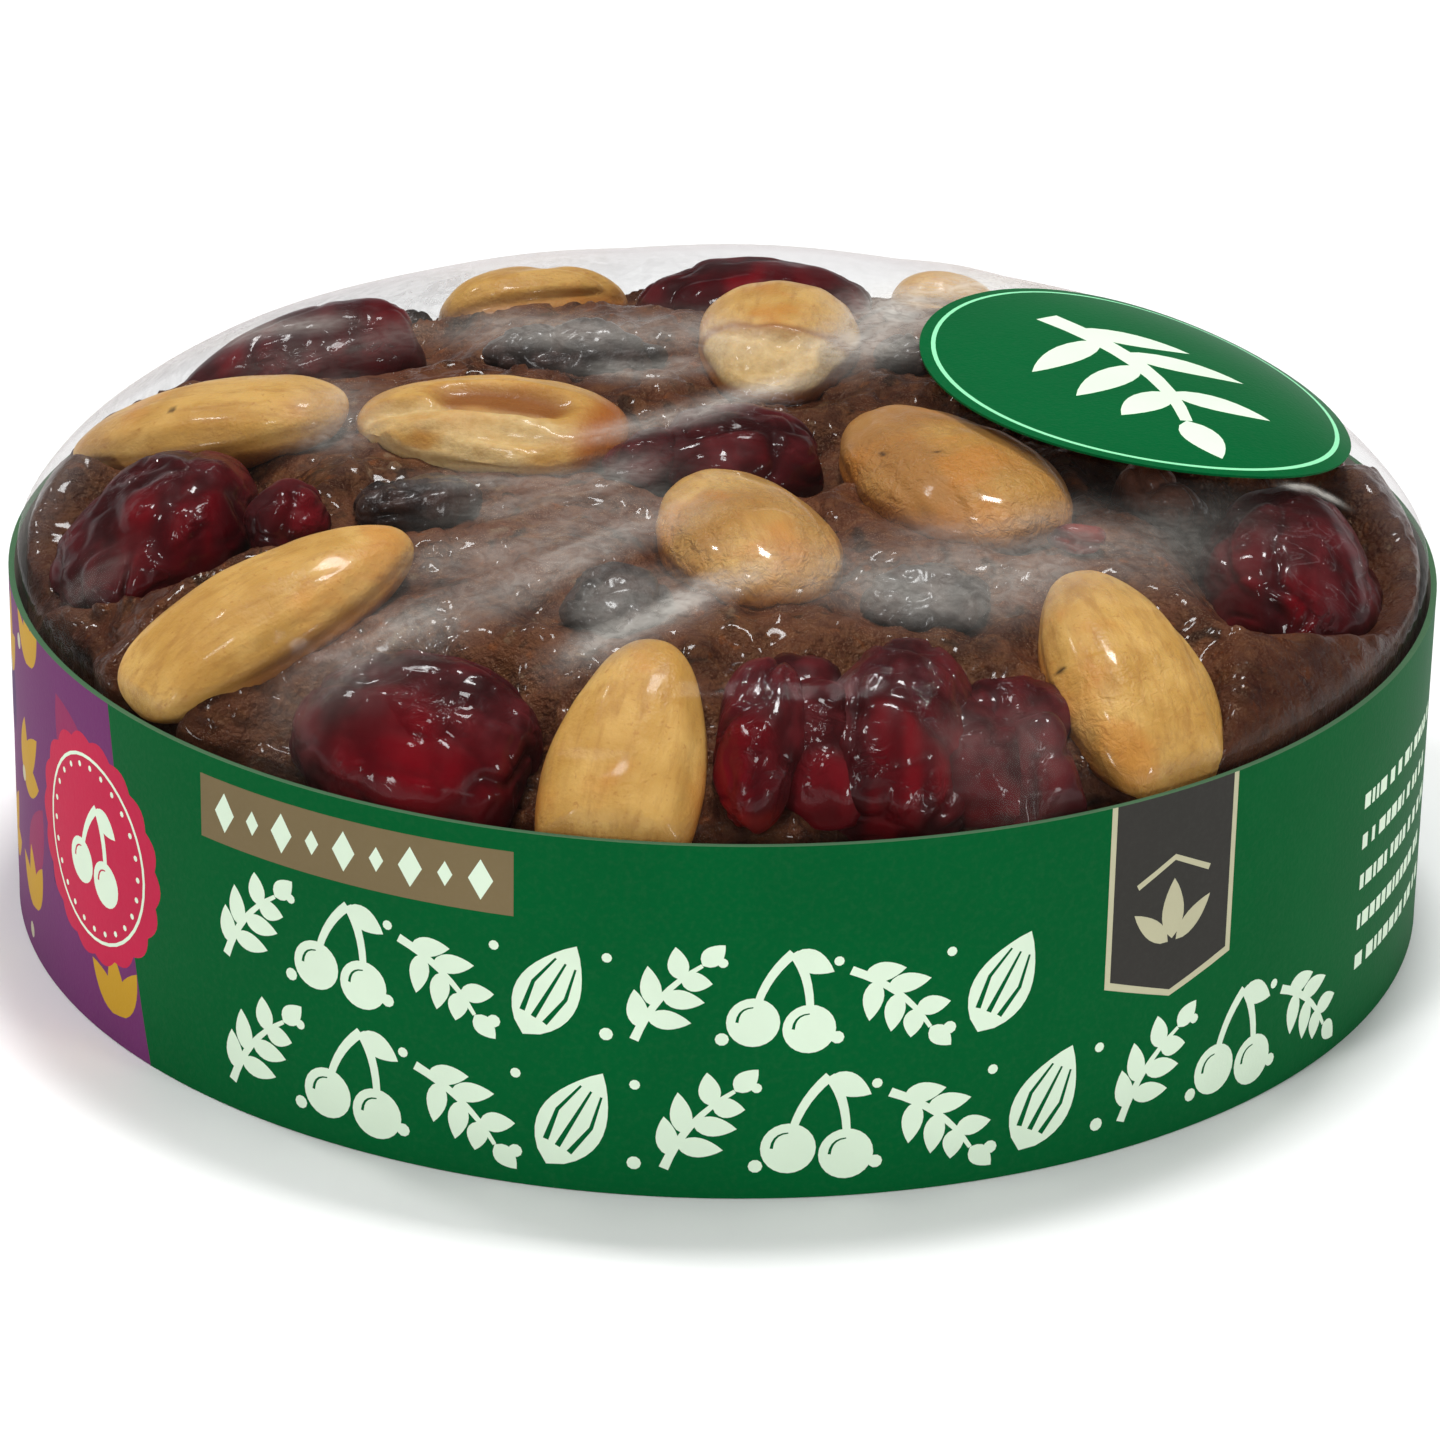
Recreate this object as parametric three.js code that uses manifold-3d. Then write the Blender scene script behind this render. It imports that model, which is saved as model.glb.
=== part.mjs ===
// A small round fruit cake topped with blanched almonds, glace cherries and raisins,
// sealed in clear shrink film, with a card band round its side and an oval sticker.
// Millimetres, +Z up. The origin is the centre of the underside, and the front faces -Y.

import * as THREE from 'three';
import { mergeVertices } from 'three/addons/utils/BufferGeometryUtils.js';
import Module from 'manifold-3d';

const wasm = await Module();
wasm.setup();

// Driving sizes of the pack.
const BAND_RADIUS = 60;
const BAND_HEIGHT = 30;
const BAND_CARD = 0.5;

const GAP = 0.3;
const FILM = 0.3;
const FILM_RADIUS = BAND_RADIUS - BAND_CARD - GAP;
const FILM_CORNER = 2;
const ROUND_SEGMENTS = 48;
const VENT_RADIUS = 2;
const VENT_FROM_CENTRE = 22;

// The film's dome: a flat top that rounds over to the rim as a superellipse does.
const DOME_RISE = 12.7;
const DOME_FLATNESS = 5.9;
const DOME_ROUNDNESS = 1.37;
const DOME_RINGS = [0.985, 0.955, 0.91, 0.85, 0.75, 0.57, 0.3];

// How far the bare cake lies under the film: on its side, its shoulder and its top.
const CAKE_UNDER_SIDE = FILM + GAP;
const CAKE_UNDER_SHOULDER = 2;
const CAKE_UNDER_TOP = 4.2;
const CAKE_LUMP = 0.45;

// Toppings press up against the film. POCKET is their clearance in the cake, and the two
// tidies are how far the cut faces of a topping and of the cake may be smoothed over.
const TOPPING_UNDER_FILM = 0.65;
const POCKET = 0.6;
const TOPPING_TIDY = 0.08;
const CAKE_TIDY = 0.16;

const STICKER = {
  x: 34.6, y: 9.7, heading: -71.7, halfLength: 22.9, halfWidth: 17.5,
  lift: 0.42, thickness: 0.2, segments: 32,
};

// Each topping: where its top touches the film, the heading of its length in plan,
// its length, width and thickness, and how much deeper it sits than the film alone asks.
const ALMONDS = [
  { x: -37.4, y: -30.9, heading: 33, length: 27, width: 12.2, thick: 9 },
  { x: -45.4, y: 8.9, heading: 166, length: 25.5, width: 11.8, thick: 8 },
  { x: -19.8, y: 5.2, heading: 167, length: 23.6, width: 15.2, thick: 8, hollow: 0.42 },
  { x: -18.7, y: 49.6, heading: 24, length: 18, width: 9.4, thick: 9 },
  { x: 4.5, y: 28.4, heading: 266, length: 25.2, width: 13.6, thick: 9.5 },
  { x: 1.6, y: -17.9, heading: 108, length: 24.2, width: 13.4, thick: 9 },
  { x: 18.6, y: -3.6, heading: 118, length: 28.6, width: 15.6, thick: 9 },
  { x: 33.1, y: -39.3, heading: 112, length: 24.2, width: 13.1, thick: 9 },
  { x: -7.5, y: -55.2, heading: 79, length: 23.6, width: 12, thick: 9 },
  { x: 20.8, y: 46.6, heading: 14, length: 10.4, width: 9.4, thick: 7 },
  { x: 34.5, y: 37.5, heading: -46, length: 22, width: 12, thick: 8 },
];
const CHERRIES = [
  { x: -49.3, y: -8.6, heading: 79, length: 22.4, width: 18.8, thick: 13.4 },
  { x: -40.7, y: 33.5, heading: 3, length: 27, width: 16.6, thick: 13 },
  { x: -36.2, y: -13.5, heading: 40, length: 8.4, width: 7, thick: 7, deeper: 1 },
  { x: 3.3, y: 49.2, heading: 0, length: 24, width: 12.6, thick: 12 },
  { x: 0.9, y: 1.6, heading: 8, length: 17, width: 14.6, thick: 12 },
  { x: -25.3, y: -49.3, heading: -31, length: 23.4, width: 16.9, thick: 14 },
  { x: 3.4, y: -51.4, heading: 86, length: 17, width: 7.4, thick: 10 },
  { x: 14.6, y: -49.5, heading: -97, length: 20.4, width: 14.2, thick: 13 },
  { x: 26.9, y: -53.2, heading: 112, length: 16, width: 7, thick: 10 },
  { x: 50, y: -12.2, heading: 82, length: 25, width: 16.8, thick: 14 },
  { x: 51, y: 20.5, heading: 100, length: 18, width: 15, thick: 12 },
];
const RAISINS = [
  { x: -25, y: -10, heading: 8, length: 11.4, width: 8.4, thick: 6, deeper: 2 },
  { x: -13.2, y: 27, heading: -4, length: 17, width: 8.6, thick: 6, deeper: 2 },
  { x: -8.5, y: -30.5, heading: 35, length: 10.5, width: 8, thick: 6, deeper: 2 },
  { x: 16.6, y: 27, heading: -20, length: 7.4, width: 6, thick: 6, deeper: 2 },
  { x: 36.6, y: -4.6, heading: -50, length: 10, width: 7, thick: 6, deeper: 2 },
  { x: 16.4, y: -28.5, heading: 5, length: 12, width: 8, thick: 6, deeper: 2 },
  { x: -32, y: 45.6, heading: 35, length: 8.6, width: 6, thick: 5.4, deeper: 1.5 },
];

// Shares of a topping's own size: how a unit ball is drawn into each kind of fruit or nut.
const ALMOND_TAPER = 0.2;
const ALMOND_BELLY = 0.1;
const ALMOND_THINNING = 0.06;
const SPLIT_NARROWNESS = 8;
const SPLIT_OFFSET = 0.2;
const CHERRY_SIZE = 0.965;
const CHERRY_FOLDS = [0.045, 0.03];
const CHERRY_DENT = 0.16;
const CHERRY_DENT_TIGHTNESS = 10;
const RAISIN_SIZE = 0.94;
const RAISIN_WRINKLES = 0.09;
const RAISIN_WAIST = 0.05;

const SLOTS = {
  cake: new THREE.MeshStandardMaterial({ color: 0x55352a, roughness: 0.45, metalness: 0 }),
  almond: new THREE.MeshStandardMaterial({ color: 0xc89a58, roughness: 0.42, metalness: 0 }),
  cherry: new THREE.MeshStandardMaterial({ color: 0x4c1016, roughness: 0.18, metalness: 0 }),
  raisin: new THREE.MeshStandardMaterial({ color: 0x2d211f, roughness: 0.35, metalness: 0 }),
  film: new THREE.MeshStandardMaterial({
    color: 0xe4e8e8, roughness: 0.12, metalness: 0, transparent: true, opacity: 0.25,
  }),
  card: new THREE.MeshStandardMaterial({ color: 0x0f6b3c, roughness: 0.4, metalness: 0 }),
  label: new THREE.MeshStandardMaterial({ color: 0x046a39, roughness: 0.35, metalness: 0 }),
};

// ---------- shape helpers ----------

const radians = (degrees) => (degrees * Math.PI) / 180;

function closedGeometry(geometry) {
  geometry.deleteAttribute('normal');
  geometry.deleteAttribute('uv');
  return mergeVertices(geometry, 1e-4);
}

function solidFrom(geometry) {
  const closed = closedGeometry(geometry);
  const vertProperties = new Float32Array(closed.attributes.position.array);
  const triVerts = new Uint32Array(closed.index.array);
  return new wasm.Manifold(new wasm.Mesh({ numProp: 3, vertProperties, triVerts }));
}

function geometryFrom(solid) {
  const mesh = solid.getMesh();
  const geometry = new THREE.BufferGeometry();
  geometry.setAttribute('position', new THREE.BufferAttribute(mesh.vertProperties, 3));
  geometry.setIndex(new THREE.BufferAttribute(mesh.triVerts, 1));
  return geometry;
}

function moveVertices(geometry, move) {
  const position = geometry.attributes.position;
  const point = new THREE.Vector3();
  for (let i = 0; i < position.count; i += 1) {
    point.fromBufferAttribute(position, i);
    move(point);
    position.setXYZ(i, point.x, point.y, point.z);
  }
  return geometry;
}

// A profile of (radius, height) points from the bottom of the axis to its top, turned to +Z.
function turned(profile, segments) {
  const geometry = new THREE.LatheGeometry(profile, segments);
  geometry.rotateX(Math.PI / 2);
  return geometry;
}

// ---------- the film and what it wraps ----------

function domeHeight(radius) {
  const share = Math.max(1 - (radius / BAND_RADIUS) ** DOME_FLATNESS, 0);
  return BAND_HEIGHT + DOME_RISE * share ** (1 / DOME_ROUNDNESS);
}

function domeNormal(x, y) {
  const step = 0.05;
  const radius = Math.hypot(x, y);
  const slope = (domeHeight(radius + step) - domeHeight(Math.max(radius - step, 0))) / (2 * step);
  const turn = Math.atan2(y, x);
  return new THREE.Vector3(-slope * Math.cos(turn), -slope * Math.sin(turn), 1).normalize();
}

// The film's outline from the axis at the bottom, up the side and over the dome, moved
// inwards by under(radius share of the dome), with 1 for the side and 0 for the centre.
function wrapProfile(under, bottom) {
  const side = FILM_RADIUS - under(1);
  const corner = FILM_CORNER;
  const profile = [new THREE.Vector2(0, bottom), new THREE.Vector2(side - corner, bottom)];
  profile.push(new THREE.Vector2(side - corner * 0.3, bottom + corner * 0.3));
  profile.push(new THREE.Vector2(side, bottom + corner));
  for (const share of DOME_RINGS) {
    const radius = share * BAND_RADIUS;
    const normal = domeNormal(radius, 0);
    const point = new THREE.Vector2(radius, domeHeight(radius));
    point.x = Math.min(point.x - normal.x * under(share), side);
    point.y -= normal.z * under(share);
    profile.push(point);
  }
  profile.push(new THREE.Vector2(0, domeHeight(0) - under(0)));
  return profile;
}

function wrapSolid(under, bottom) {
  return solidFrom(turned(wrapProfile(under, bottom), ROUND_SEGMENTS));
}

function filmSolid() {
  const outside = wrapSolid(() => 0, 0);
  const inside = wrapSolid(() => FILM, FILM);
  const vent = new THREE.CylinderGeometry(VENT_RADIUS, VENT_RADIUS, 4 * FILM, 12);
  vent.rotateX(Math.PI / 2);
  vent.translate(0, VENT_FROM_CENTRE, 0);
  return outside.subtract(inside).subtract(solidFrom(vent));
}

// How far the bare cake lies under the film at a share of the dome's radius.
function cakeUnder(share) {
  if (share >= 1) {
    return CAKE_UNDER_SIDE;
  }
  const toCentre = THREE.MathUtils.smoothstep(1 - share, 0.05, 0.4);
  return THREE.MathUtils.lerp(CAKE_UNDER_SHOULDER, CAKE_UNDER_TOP, toCentre);
}

function cakeSolid(pockets) {
  const bottom = FILM + GAP;
  const body = turned(wrapProfile(cakeUnder, bottom), ROUND_SEGMENTS);
  moveVertices(body, (point) => {
    if (point.z > BAND_HEIGHT) {
      const lumps = Math.sin(point.x * 0.45 + 1.3) * Math.sin(point.y * 0.5 + 0.4);
      point.z += CAKE_LUMP * (lumps + 0.5 * Math.sin(point.x * 1.1 - point.y * 0.9));
    }
  });
  const cut = solidFrom(body).subtract(wasm.Manifold.union(pockets));
  const pieces = cut.simplify(CAKE_TIDY).decompose().sort((a, b) => b.volume() - a.volume());
  return pieces[0];
}

// ---------- toppings ----------

// Turns a unit form, length along X and thickness along Z, so that its top touches the film.
function placeTopping(geometry, item, clearance) {
  const up = domeNormal(item.x, item.y);
  const heading = radians(item.heading);
  const along = new THREE.Vector3(Math.cos(heading), Math.sin(heading), 0);
  along.addScaledVector(up, -along.dot(up)).normalize();
  const across = new THREE.Vector3().crossVectors(up, along);
  const depth = TOPPING_UNDER_FILM + (item.deeper ?? 0) + item.thick / 2;
  const centre = new THREE.Vector3(item.x, item.y, domeHeight(Math.hypot(item.x, item.y)));
  centre.addScaledVector(up, -depth);
  geometry.scale(
    item.length / 2 + clearance,
    item.width / 2 + clearance,
    item.thick / 2 + clearance,
  );
  geometry.applyMatrix4(new THREE.Matrix4().makeBasis(along, across, up));
  geometry.translate(centre.x, centre.y, centre.z);
  return solidFrom(geometry);
}

// A unit ball with its poles at the two ends of X.
function endedBall(around, rings) {
  const ball = new THREE.SphereGeometry(1, around, rings);
  ball.rotateZ(-Math.PI / 2);
  return ball;
}

// A blanched almond: full at one end, drawn to a blunt tip at the other, with flat sides.
// The split one has a long hollow in its upper face.
function almondForm(item) {
  const hollow = item.hollow ?? 0;
  return moveVertices(endedBall(10, 7), (point) => {
    const middle = 1 - point.x * point.x;
    const top = Math.max(point.z, 0);
    point.y *= (1 - ALMOND_TAPER * point.x) * (1 + ALMOND_BELLY * (middle - 0.5));
    point.z *= 1 - ALMOND_THINNING * point.x;
    const inSplit = Math.exp(-SPLIT_NARROWNESS * (point.y - SPLIT_OFFSET) ** 2);
    point.z -= hollow * top * middle * inSplit;
  });
}

// A glace cherry: a soft ball with a dent at its stem end and sunken folds down its sides.
function cherryForm(item, index) {
  return moveVertices(endedBall(12, 8), (point) => {
    const turn = Math.atan2(point.z, point.y);
    const [deep, wide] = CHERRY_FOLDS;
    const folds = deep * Math.cos(3 * turn + index) + wide * Math.cos(2 * turn + 2 * index);
    const dent = CHERRY_DENT * Math.exp(-CHERRY_DENT_TIGHTNESS * (1 - point.x));
    const middle = 1 - point.x * point.x;
    point.multiplyScalar(CHERRY_SIZE + folds * middle - dent);
  });
}

// A raisin: a flattened body gathered into deep wrinkles.
function raisinForm(item, index) {
  return moveVertices(endedBall(8, 6), (point) => {
    const turn = Math.atan2(point.z, point.y);
    const middle = 1 - point.x * point.x;
    const wrinkles = RAISIN_WRINKLES * Math.cos(3 * turn + 1.7 * index) * middle;
    const waist = RAISIN_WAIST * Math.sin(5 * point.x + index);
    point.multiplyScalar(RAISIN_SIZE + wrinkles + waist);
  });
}

const KINDS = [
  { name: 'almond', items: ALMONDS, form: almondForm, material: SLOTS.almond },
  { name: 'cherry', items: CHERRIES, form: cherryForm, material: SLOTS.cherry },
  { name: 'raisin', items: RAISINS, form: raisinForm, material: SLOTS.raisin },
];

// ---------- band and sticker ----------

function bandGeometry() {
  const inner = BAND_RADIUS - BAND_CARD;
  const profile = [
    new THREE.Vector2(inner, 0),
    new THREE.Vector2(BAND_RADIUS, 0),
    new THREE.Vector2(BAND_RADIUS, BAND_HEIGHT),
    new THREE.Vector2(inner, BAND_HEIGHT),
    new THREE.Vector2(inner, 0),
  ];
  return closedGeometry(turned(profile, ROUND_SEGMENTS));
}

// The sticker is a flat oval disc laid on the dome: z 0 is its back and z 1 its face.
function stickerGeometry() {
  const steps = [0.4, 0.75, 1];
  const profile = [new THREE.Vector2(0, 0)];
  steps.forEach((step) => profile.push(new THREE.Vector2(step, 0)));
  steps.toReversed().forEach((step) => profile.push(new THREE.Vector2(step, 1)));
  profile.push(new THREE.Vector2(0, 1));
  const heading = radians(STICKER.heading);
  const disc = moveVertices(turned(profile, STICKER.segments), (point) => {
    const along = point.x * STICKER.halfLength;
    const across = point.y * STICKER.halfWidth;
    const lift = STICKER.lift + point.z * STICKER.thickness;
    const x = STICKER.x + along * Math.cos(heading) - across * Math.sin(heading);
    const y = STICKER.y + along * Math.sin(heading) + across * Math.cos(heading);
    point.set(x, y, domeHeight(Math.hypot(x, y)));
    point.addScaledVector(domeNormal(x, y), lift);
  });
  return closedGeometry(disc);
}

// ---------- the whole pack ----------

const pack = new THREE.Group();

function addPart(name, geometry, material) {
  const mesh = new THREE.Mesh(geometry, material);
  mesh.name = name;
  pack.add(mesh);
}

const underFilm = wrapSolid(() => FILM + GAP, FILM + GAP);
const pockets = [];
for (const kind of KINDS) {
  kind.items.forEach((item, index) => {
    const whole = placeTopping(kind.form(item, index), item, 0);
    const pressed = whole.intersect(underFilm).simplify(TOPPING_TIDY);
    addPart(`${kind.name}_${index + 1}`, geometryFrom(pressed), kind.material);
    pockets.push(placeTopping(kind.form(item, index), item, POCKET));
  });
}
addPart('cake', geometryFrom(cakeSolid(pockets)), SLOTS.cake);
addPart('film', geometryFrom(filmSolid()), SLOTS.film);
addPart('band', bandGeometry(), SLOTS.card);
addPart('sticker', stickerGeometry(), SLOTS.label);

export default pack;
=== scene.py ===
# The looks of a small round fruit cake: almonds, glace cherries and raisins pressed into the
# top of a dark cake, sealed in shrink film, with a printed card band and an oval sticker.
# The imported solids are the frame. Lengths are in millimetres until a mesh is made, and in
# metres for the camera, the lights and the floor.

from itertools import product
from math import cos, pi, radians, sin

import bpy
import numpy as np
from mathutils import Matrix, Vector
from mathutils.geometry import delaunay_2d_cdt


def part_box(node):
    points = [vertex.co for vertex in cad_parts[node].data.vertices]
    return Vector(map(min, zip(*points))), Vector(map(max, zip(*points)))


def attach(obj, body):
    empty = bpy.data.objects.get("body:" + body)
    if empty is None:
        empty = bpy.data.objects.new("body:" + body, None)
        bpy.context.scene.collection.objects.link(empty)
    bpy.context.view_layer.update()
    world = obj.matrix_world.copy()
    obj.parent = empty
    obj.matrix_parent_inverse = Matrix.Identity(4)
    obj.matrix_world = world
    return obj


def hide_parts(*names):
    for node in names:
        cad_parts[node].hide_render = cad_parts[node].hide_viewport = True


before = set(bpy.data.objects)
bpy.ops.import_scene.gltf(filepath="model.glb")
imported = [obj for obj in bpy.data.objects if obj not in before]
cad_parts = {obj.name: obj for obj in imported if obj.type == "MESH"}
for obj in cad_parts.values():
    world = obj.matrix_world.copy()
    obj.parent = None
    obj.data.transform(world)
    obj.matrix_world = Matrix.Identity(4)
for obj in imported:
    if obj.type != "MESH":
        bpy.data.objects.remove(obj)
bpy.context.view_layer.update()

MM = 0.001
BODY = "root"

# ---------- sizes taken from the frame ----------

BAND_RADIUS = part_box("band")[1].x / MM
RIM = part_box("band")[1].z / MM
FILM_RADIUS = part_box("film")[1].x / MM
DOME_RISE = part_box("film")[1].z / MM - RIM
CAKE_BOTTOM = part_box("cake")[0].z / MM

# The dome's curve, and how deep the cake and its toppings lie under it, as in the solids.
DOME_FLATNESS = 5.9
DOME_ROUNDNESS = 1.37
FILM_CORNER = 2
UNDER_FILM = 0.6
CAKE_RADIUS = FILM_RADIUS - UNDER_FILM
TOPPING_UNDER_FILM = 0.65
CAKE_UNDER_SHOULDER = 1.3
CAKE_UNDER_TOP = 4.2

# ---------- toppings, placed as the solids are ----------


def topping(x, y, heading, length, width, thick, deeper=0, rim=0, **more):
    """A topping: where it touches the film, the heading of its length, its sizes, and more.

    deeper is how much further than others it lies under the film, and rim how much of its
    width the hollow round it keeps near the cake's rim.
    """
    return {"x": x, "y": y, "heading": heading, "length": length, "width": width,
            "thick": thick, "deeper": deeper, "rim": rim, **more}


# Specks are dark points, placed by shares of half the length and half the width from the
# middle. furrows is how deep the long furrows are, blunt how full the ends are, tan how brown
# the skin is and glaze how wet.
ALMONDS = [
    topping(-37.4, -30.9, 33, 27, 12.2, 9, rim=0.35),
    topping(-45.4, 8.9, 166, 25.5, 11.8, 8, specks=[(0.09, 0.55)]),
    topping(-19.8, 5.2, 167, 23.6, 15.2, 8, split=True),
    topping(-18.7, 49.6, 24, 18, 9.4, 9, furrows=0.5),
    topping(4.5, 28.4, 266, 25.2, 13.6, 9.5, broken=True),
    topping(1.6, -17.9, 108, 24.2, 13.4, 9, tan=0.7, glaze=1),
    topping(18.6, -3.6, 118, 28.6, 15.6, 9, specks=[(0.09, 0.73), (-0.18, 0.32)], furrows=0.22,
            tan=1.3, glaze=0.9, blunt=0.02),
    topping(33.1, -39.3, 112, 24.2, 13.1, 9, specks=[(0.0, 0.97)], furrows=0.2, glaze=0.5),
    topping(-7.5, -55.2, 79, 23.6, 12, 9),
    topping(20.8, 46.6, 14, 10.4, 9.4, 7),
    topping(34.5, 37.5, -46, 22, 12, 8, furrows=0.25),
]
# The glow is the heading and rise of the side where painted light shows red through the fruit.
CHERRIES = [
    topping(-49.3, -8.6, 79, 22.4, 18.8, 13.4, glow=(-60, 25), rim=0.5),
    topping(-40.7, 33.5, 3, 27, 16.6, 13, glow=(-70, 60)),
    topping(-36.2, -13.5, 40, 8.4, 7, 7, deeper=1, glow=(-60, 30)),
    topping(3.3, 49.2, 0, 24, 12.6, 12, glow=(-70, 50)),
    topping(0.9, 1.6, 8, 17, 14.6, 12, glow=(-25, -10)),
    topping(-25.3, -49.3, -31, 23.4, 16.9, 14, glow=(-95, 10), rim=1),
    topping(3.4, -51.4, 86, 17, 7.4, 10, glow=(-110, 10), orange=0.45, rim=1),
    topping(14.6, -49.5, -97, 20.4, 14.2, 13, glow=(-80, 15), rim=1),
    topping(26.9, -53.2, 112, 16, 7, 10, glow=(-60, 10), rim=1),
    topping(50, -12.2, 82, 25, 16.8, 14, glow=(-110, 5)),
    topping(51, 20.5, 100, 18, 15, 12, glow=(20, 20)),
]
RAISINS = [
    topping(-25, -10, 8, 11.4, 8.4, 6, deeper=2),
    topping(-13.2, 27, -4, 17, 8.6, 6, deeper=2),
    topping(-8.5, -30.5, 35, 10.5, 8, 6, deeper=2),
    topping(16.6, 27, -20, 7.4, 6, 6, deeper=2),
    topping(36.6, -4.6, -50, 10, 7, 6, deeper=2, brown=0.8),
    topping(16.4, -28.5, 5, 12, 8, 6, deeper=2),
    topping(-32, 45.6, 35, 8.6, 6, 5.4, deeper=1.5),
]
# Red fruit between the toppings: x, y, size, how deep it sits and how orange it is.
CHIPS = [
    (29, -19, 2.2, 1.2, 1), (-6.4, -1, 3.8, 1.6, 0), (8.4, -51.6, 5.6, 1.5, 0.2),
    (21.2, -51, 6.2, 1.6, 0), (24, -45.5, 4.6, 2.2, 0), (6, -44.5, 4, 2.4, 0),
]

STICKER = {"x": 34.6, "y": 9.7, "heading": -71.7, "half_length": 22.9, "half_width": 17.5,
           "lift": 0.42, "thickness": 0.2, "ring_inset": 1.0, "ring_width": 0.38}

# ---------- milky creases and painted glare in the film ---
# Each is a run of points across the dome, how wide it spreads and how white it gets. Some are
# milky creases, others painted glare where the film reflects the lights.
CREASES_AND_GLARE = [
    ([(-32.4, -45.5), (-26.3, -43.1), (-17.2, -38.3), (-5.8, -25.9), (-1, -19)], 2.9, 0.36),
    ([(-12, -40), (-6, -39.5), (-1, -37.5)], 3.8, 0.3),
    ([(-26, -36), (-17, -31), (-9, -24), (-4, -17)], 4.5, 0.2),
    ([(-13, -8.5), (-7.5, -5), (-2.1, -1.4), (2.9, 3.6), (8, 9)], 1.8, 0.5),
    ([(-12.3, -47.6), (-4.7, -42.1), (0.6, -36.6), (5, -33)], 1.9, 0.6),
    ([(1, -33), (9, -35), (17, -33), (25.8, -29), (34, -26), (40, -20)], 5, 0.26),
    ([(7, -33), (12.5, -36.5), (18.5, -37), (25, -32), (31, -27)], 4, 0.37),
    ([(13, -27), (22, -25), (30, -20)], 3, 0.2),
    ([(-21.7, -26.1), (-16.3, -22.1), (-10, -17.6), (-5.3, -10.7)], 3, 0.26),
    ([(-24, -18), (-16, -17.5), (-8.4, -15.4)], 2.4, 0.26),
    ([(-25.6, 17.2), (-17.9, 18.6), (-10.9, 17.5), (-2.3, 18), (4, 13)], 4.6, 0.3),
    ([(-12, 9), (-6, 8), (-1, 11)], 2.6, 0.3),
    ([(-33.4, 4.9), (-31.9, -4.6), (-32.2, -12.3)], 3, 0.24),
    ([(9, 11), (12.4, 18.8), (17.9, 28.8), (24.4, 36.3), (29, 42)], 4.4, 0.66),
    ([(-41, 7), (-35, 13), (-28, 17), (-24, 22)], 4, 0.1),
    ([(-45.7, 19.3), (-41.6, 22.2), (-32.7, 20.8)], 3.2, 0.28),
    ([(-53, 18), (-47, 32), (-38, 43), (-24, 53), (0, 58)], 4, 0.28),
    ([(16, -52.5), (22.1, -52.9), (26, -49.1)], 2.6, 0.08),
    ([(-51.1, -25.5), (-50.2, -22)], 2.4, 0.14),
    ([(45.7, -10.2), (48.3, -9), (51.2, -9.5)], 0.6, 0.6),
    # Painted glare of the lights at the back right.
    ([(20, 49), (32, 44), (42, 36)], 4, 0.4),
]
# Where the film lies crinkled on wet fruit: x, y and radius.
CRINKLES = [(47, -20, 8), (14.5, -49, 5), (3, -50, 3), (-47, -11, 5), (3, 0.5, 4.5),
            (-24, -45, 5)]

# ---------- numbers and shapes ----------

PRESS_SOFTNESS = 0.35


def soft_noise(points, cell, seed):
    """Smooth noise from -1 to 1 at rows of points, with features about one cell across."""
    place = np.asarray(points, float) / cell + 37.7 * seed + 911.3
    base = np.floor(place).astype(np.int64)
    share = place - base
    share = share * share * share * (share * (6 * share - 15) + 10)
    total = np.zeros(len(place))
    # The large numbers only scramble a corner's place into a value of its own.
    for corner in product((0, 1), repeat=3):
        key = (base + corner) @ np.array([73856093, 19349663, 83492791])
        key = (key ^ (key >> 13)) * 1274126177 & 0xFFFFFFFF
        key = (key ^ (key >> 16)) * 668265263 & 0xFFFFFFFF
        value = (key & 0xFFFF) / 32767.5 - 1
        total += np.prod(np.where(corner, share, 1 - share), axis=1) * value
    return total


def layered_noise(points, cell, seed, layers=3):
    """Soft noise with finer and fainter layers of itself added."""
    total = sum(soft_noise(points, cell / 2**i, seed + i) / 2**i for i in range(layers))
    return total / (2 - 2 ** (1 - layers))


def bell(value, width):
    """1 where the value is 0, fading on both sides over about the width."""
    return np.exp(-((value / width) ** 2))


def creased(points, cell, seed, narrow):
    """From 0 to 1 on thin lines that wander as the wrinkles of dried fruit do."""
    return bell(soft_noise(points, cell, seed), narrow)


def sway(points, cell, seed):
    """Soft noise in all three directions, to warp what is drawn on the points."""
    return np.stack([soft_noise(points, cell, seed + i) for i in range(3)], -1)


def step(value, low, high):
    """Rises smoothly from 0 at low to 1 at high."""
    share = np.clip((value - low) / (high - low), 0, 1)
    return share * share * (3 - 2 * share)


def soft_most(values, least, softness):
    """The larger of values and least, rounded where the two meet."""
    return 0.5 * (values + least + np.sqrt((values - least) ** 2 + softness**2))


def away_from(points, x=0, y=0):
    """How far points lie from a place in plan, or from the cake's axis."""
    return np.hypot(points[:, 0] - x, points[:, 1] - y)


def dome_height(radius):
    """The film's height at a distance from the cake's axis."""
    share = 1 - (np.minimum(radius, FILM_RADIUS) / BAND_RADIUS) ** DOME_FLATNESS
    return RIM + DOME_RISE * share ** (1 / DOME_ROUNDNESS)


def dome_normal(x, y):
    small = 0.05
    radius = np.minimum(np.hypot(x, y), FILM_RADIUS - small)
    rise = dome_height(radius + small) - dome_height(np.maximum(radius - small, 0))
    slope = rise / (2 * small)
    turn = np.arctan2(y, x)
    normal = np.stack([-slope * np.cos(turn), -slope * np.sin(turn), np.ones_like(slope)], -1)
    return normal / np.linalg.norm(normal, axis=-1, keepdims=True)


def depth_under_film(points):
    return dome_height(away_from(points)) - points[:, 2]


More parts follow.
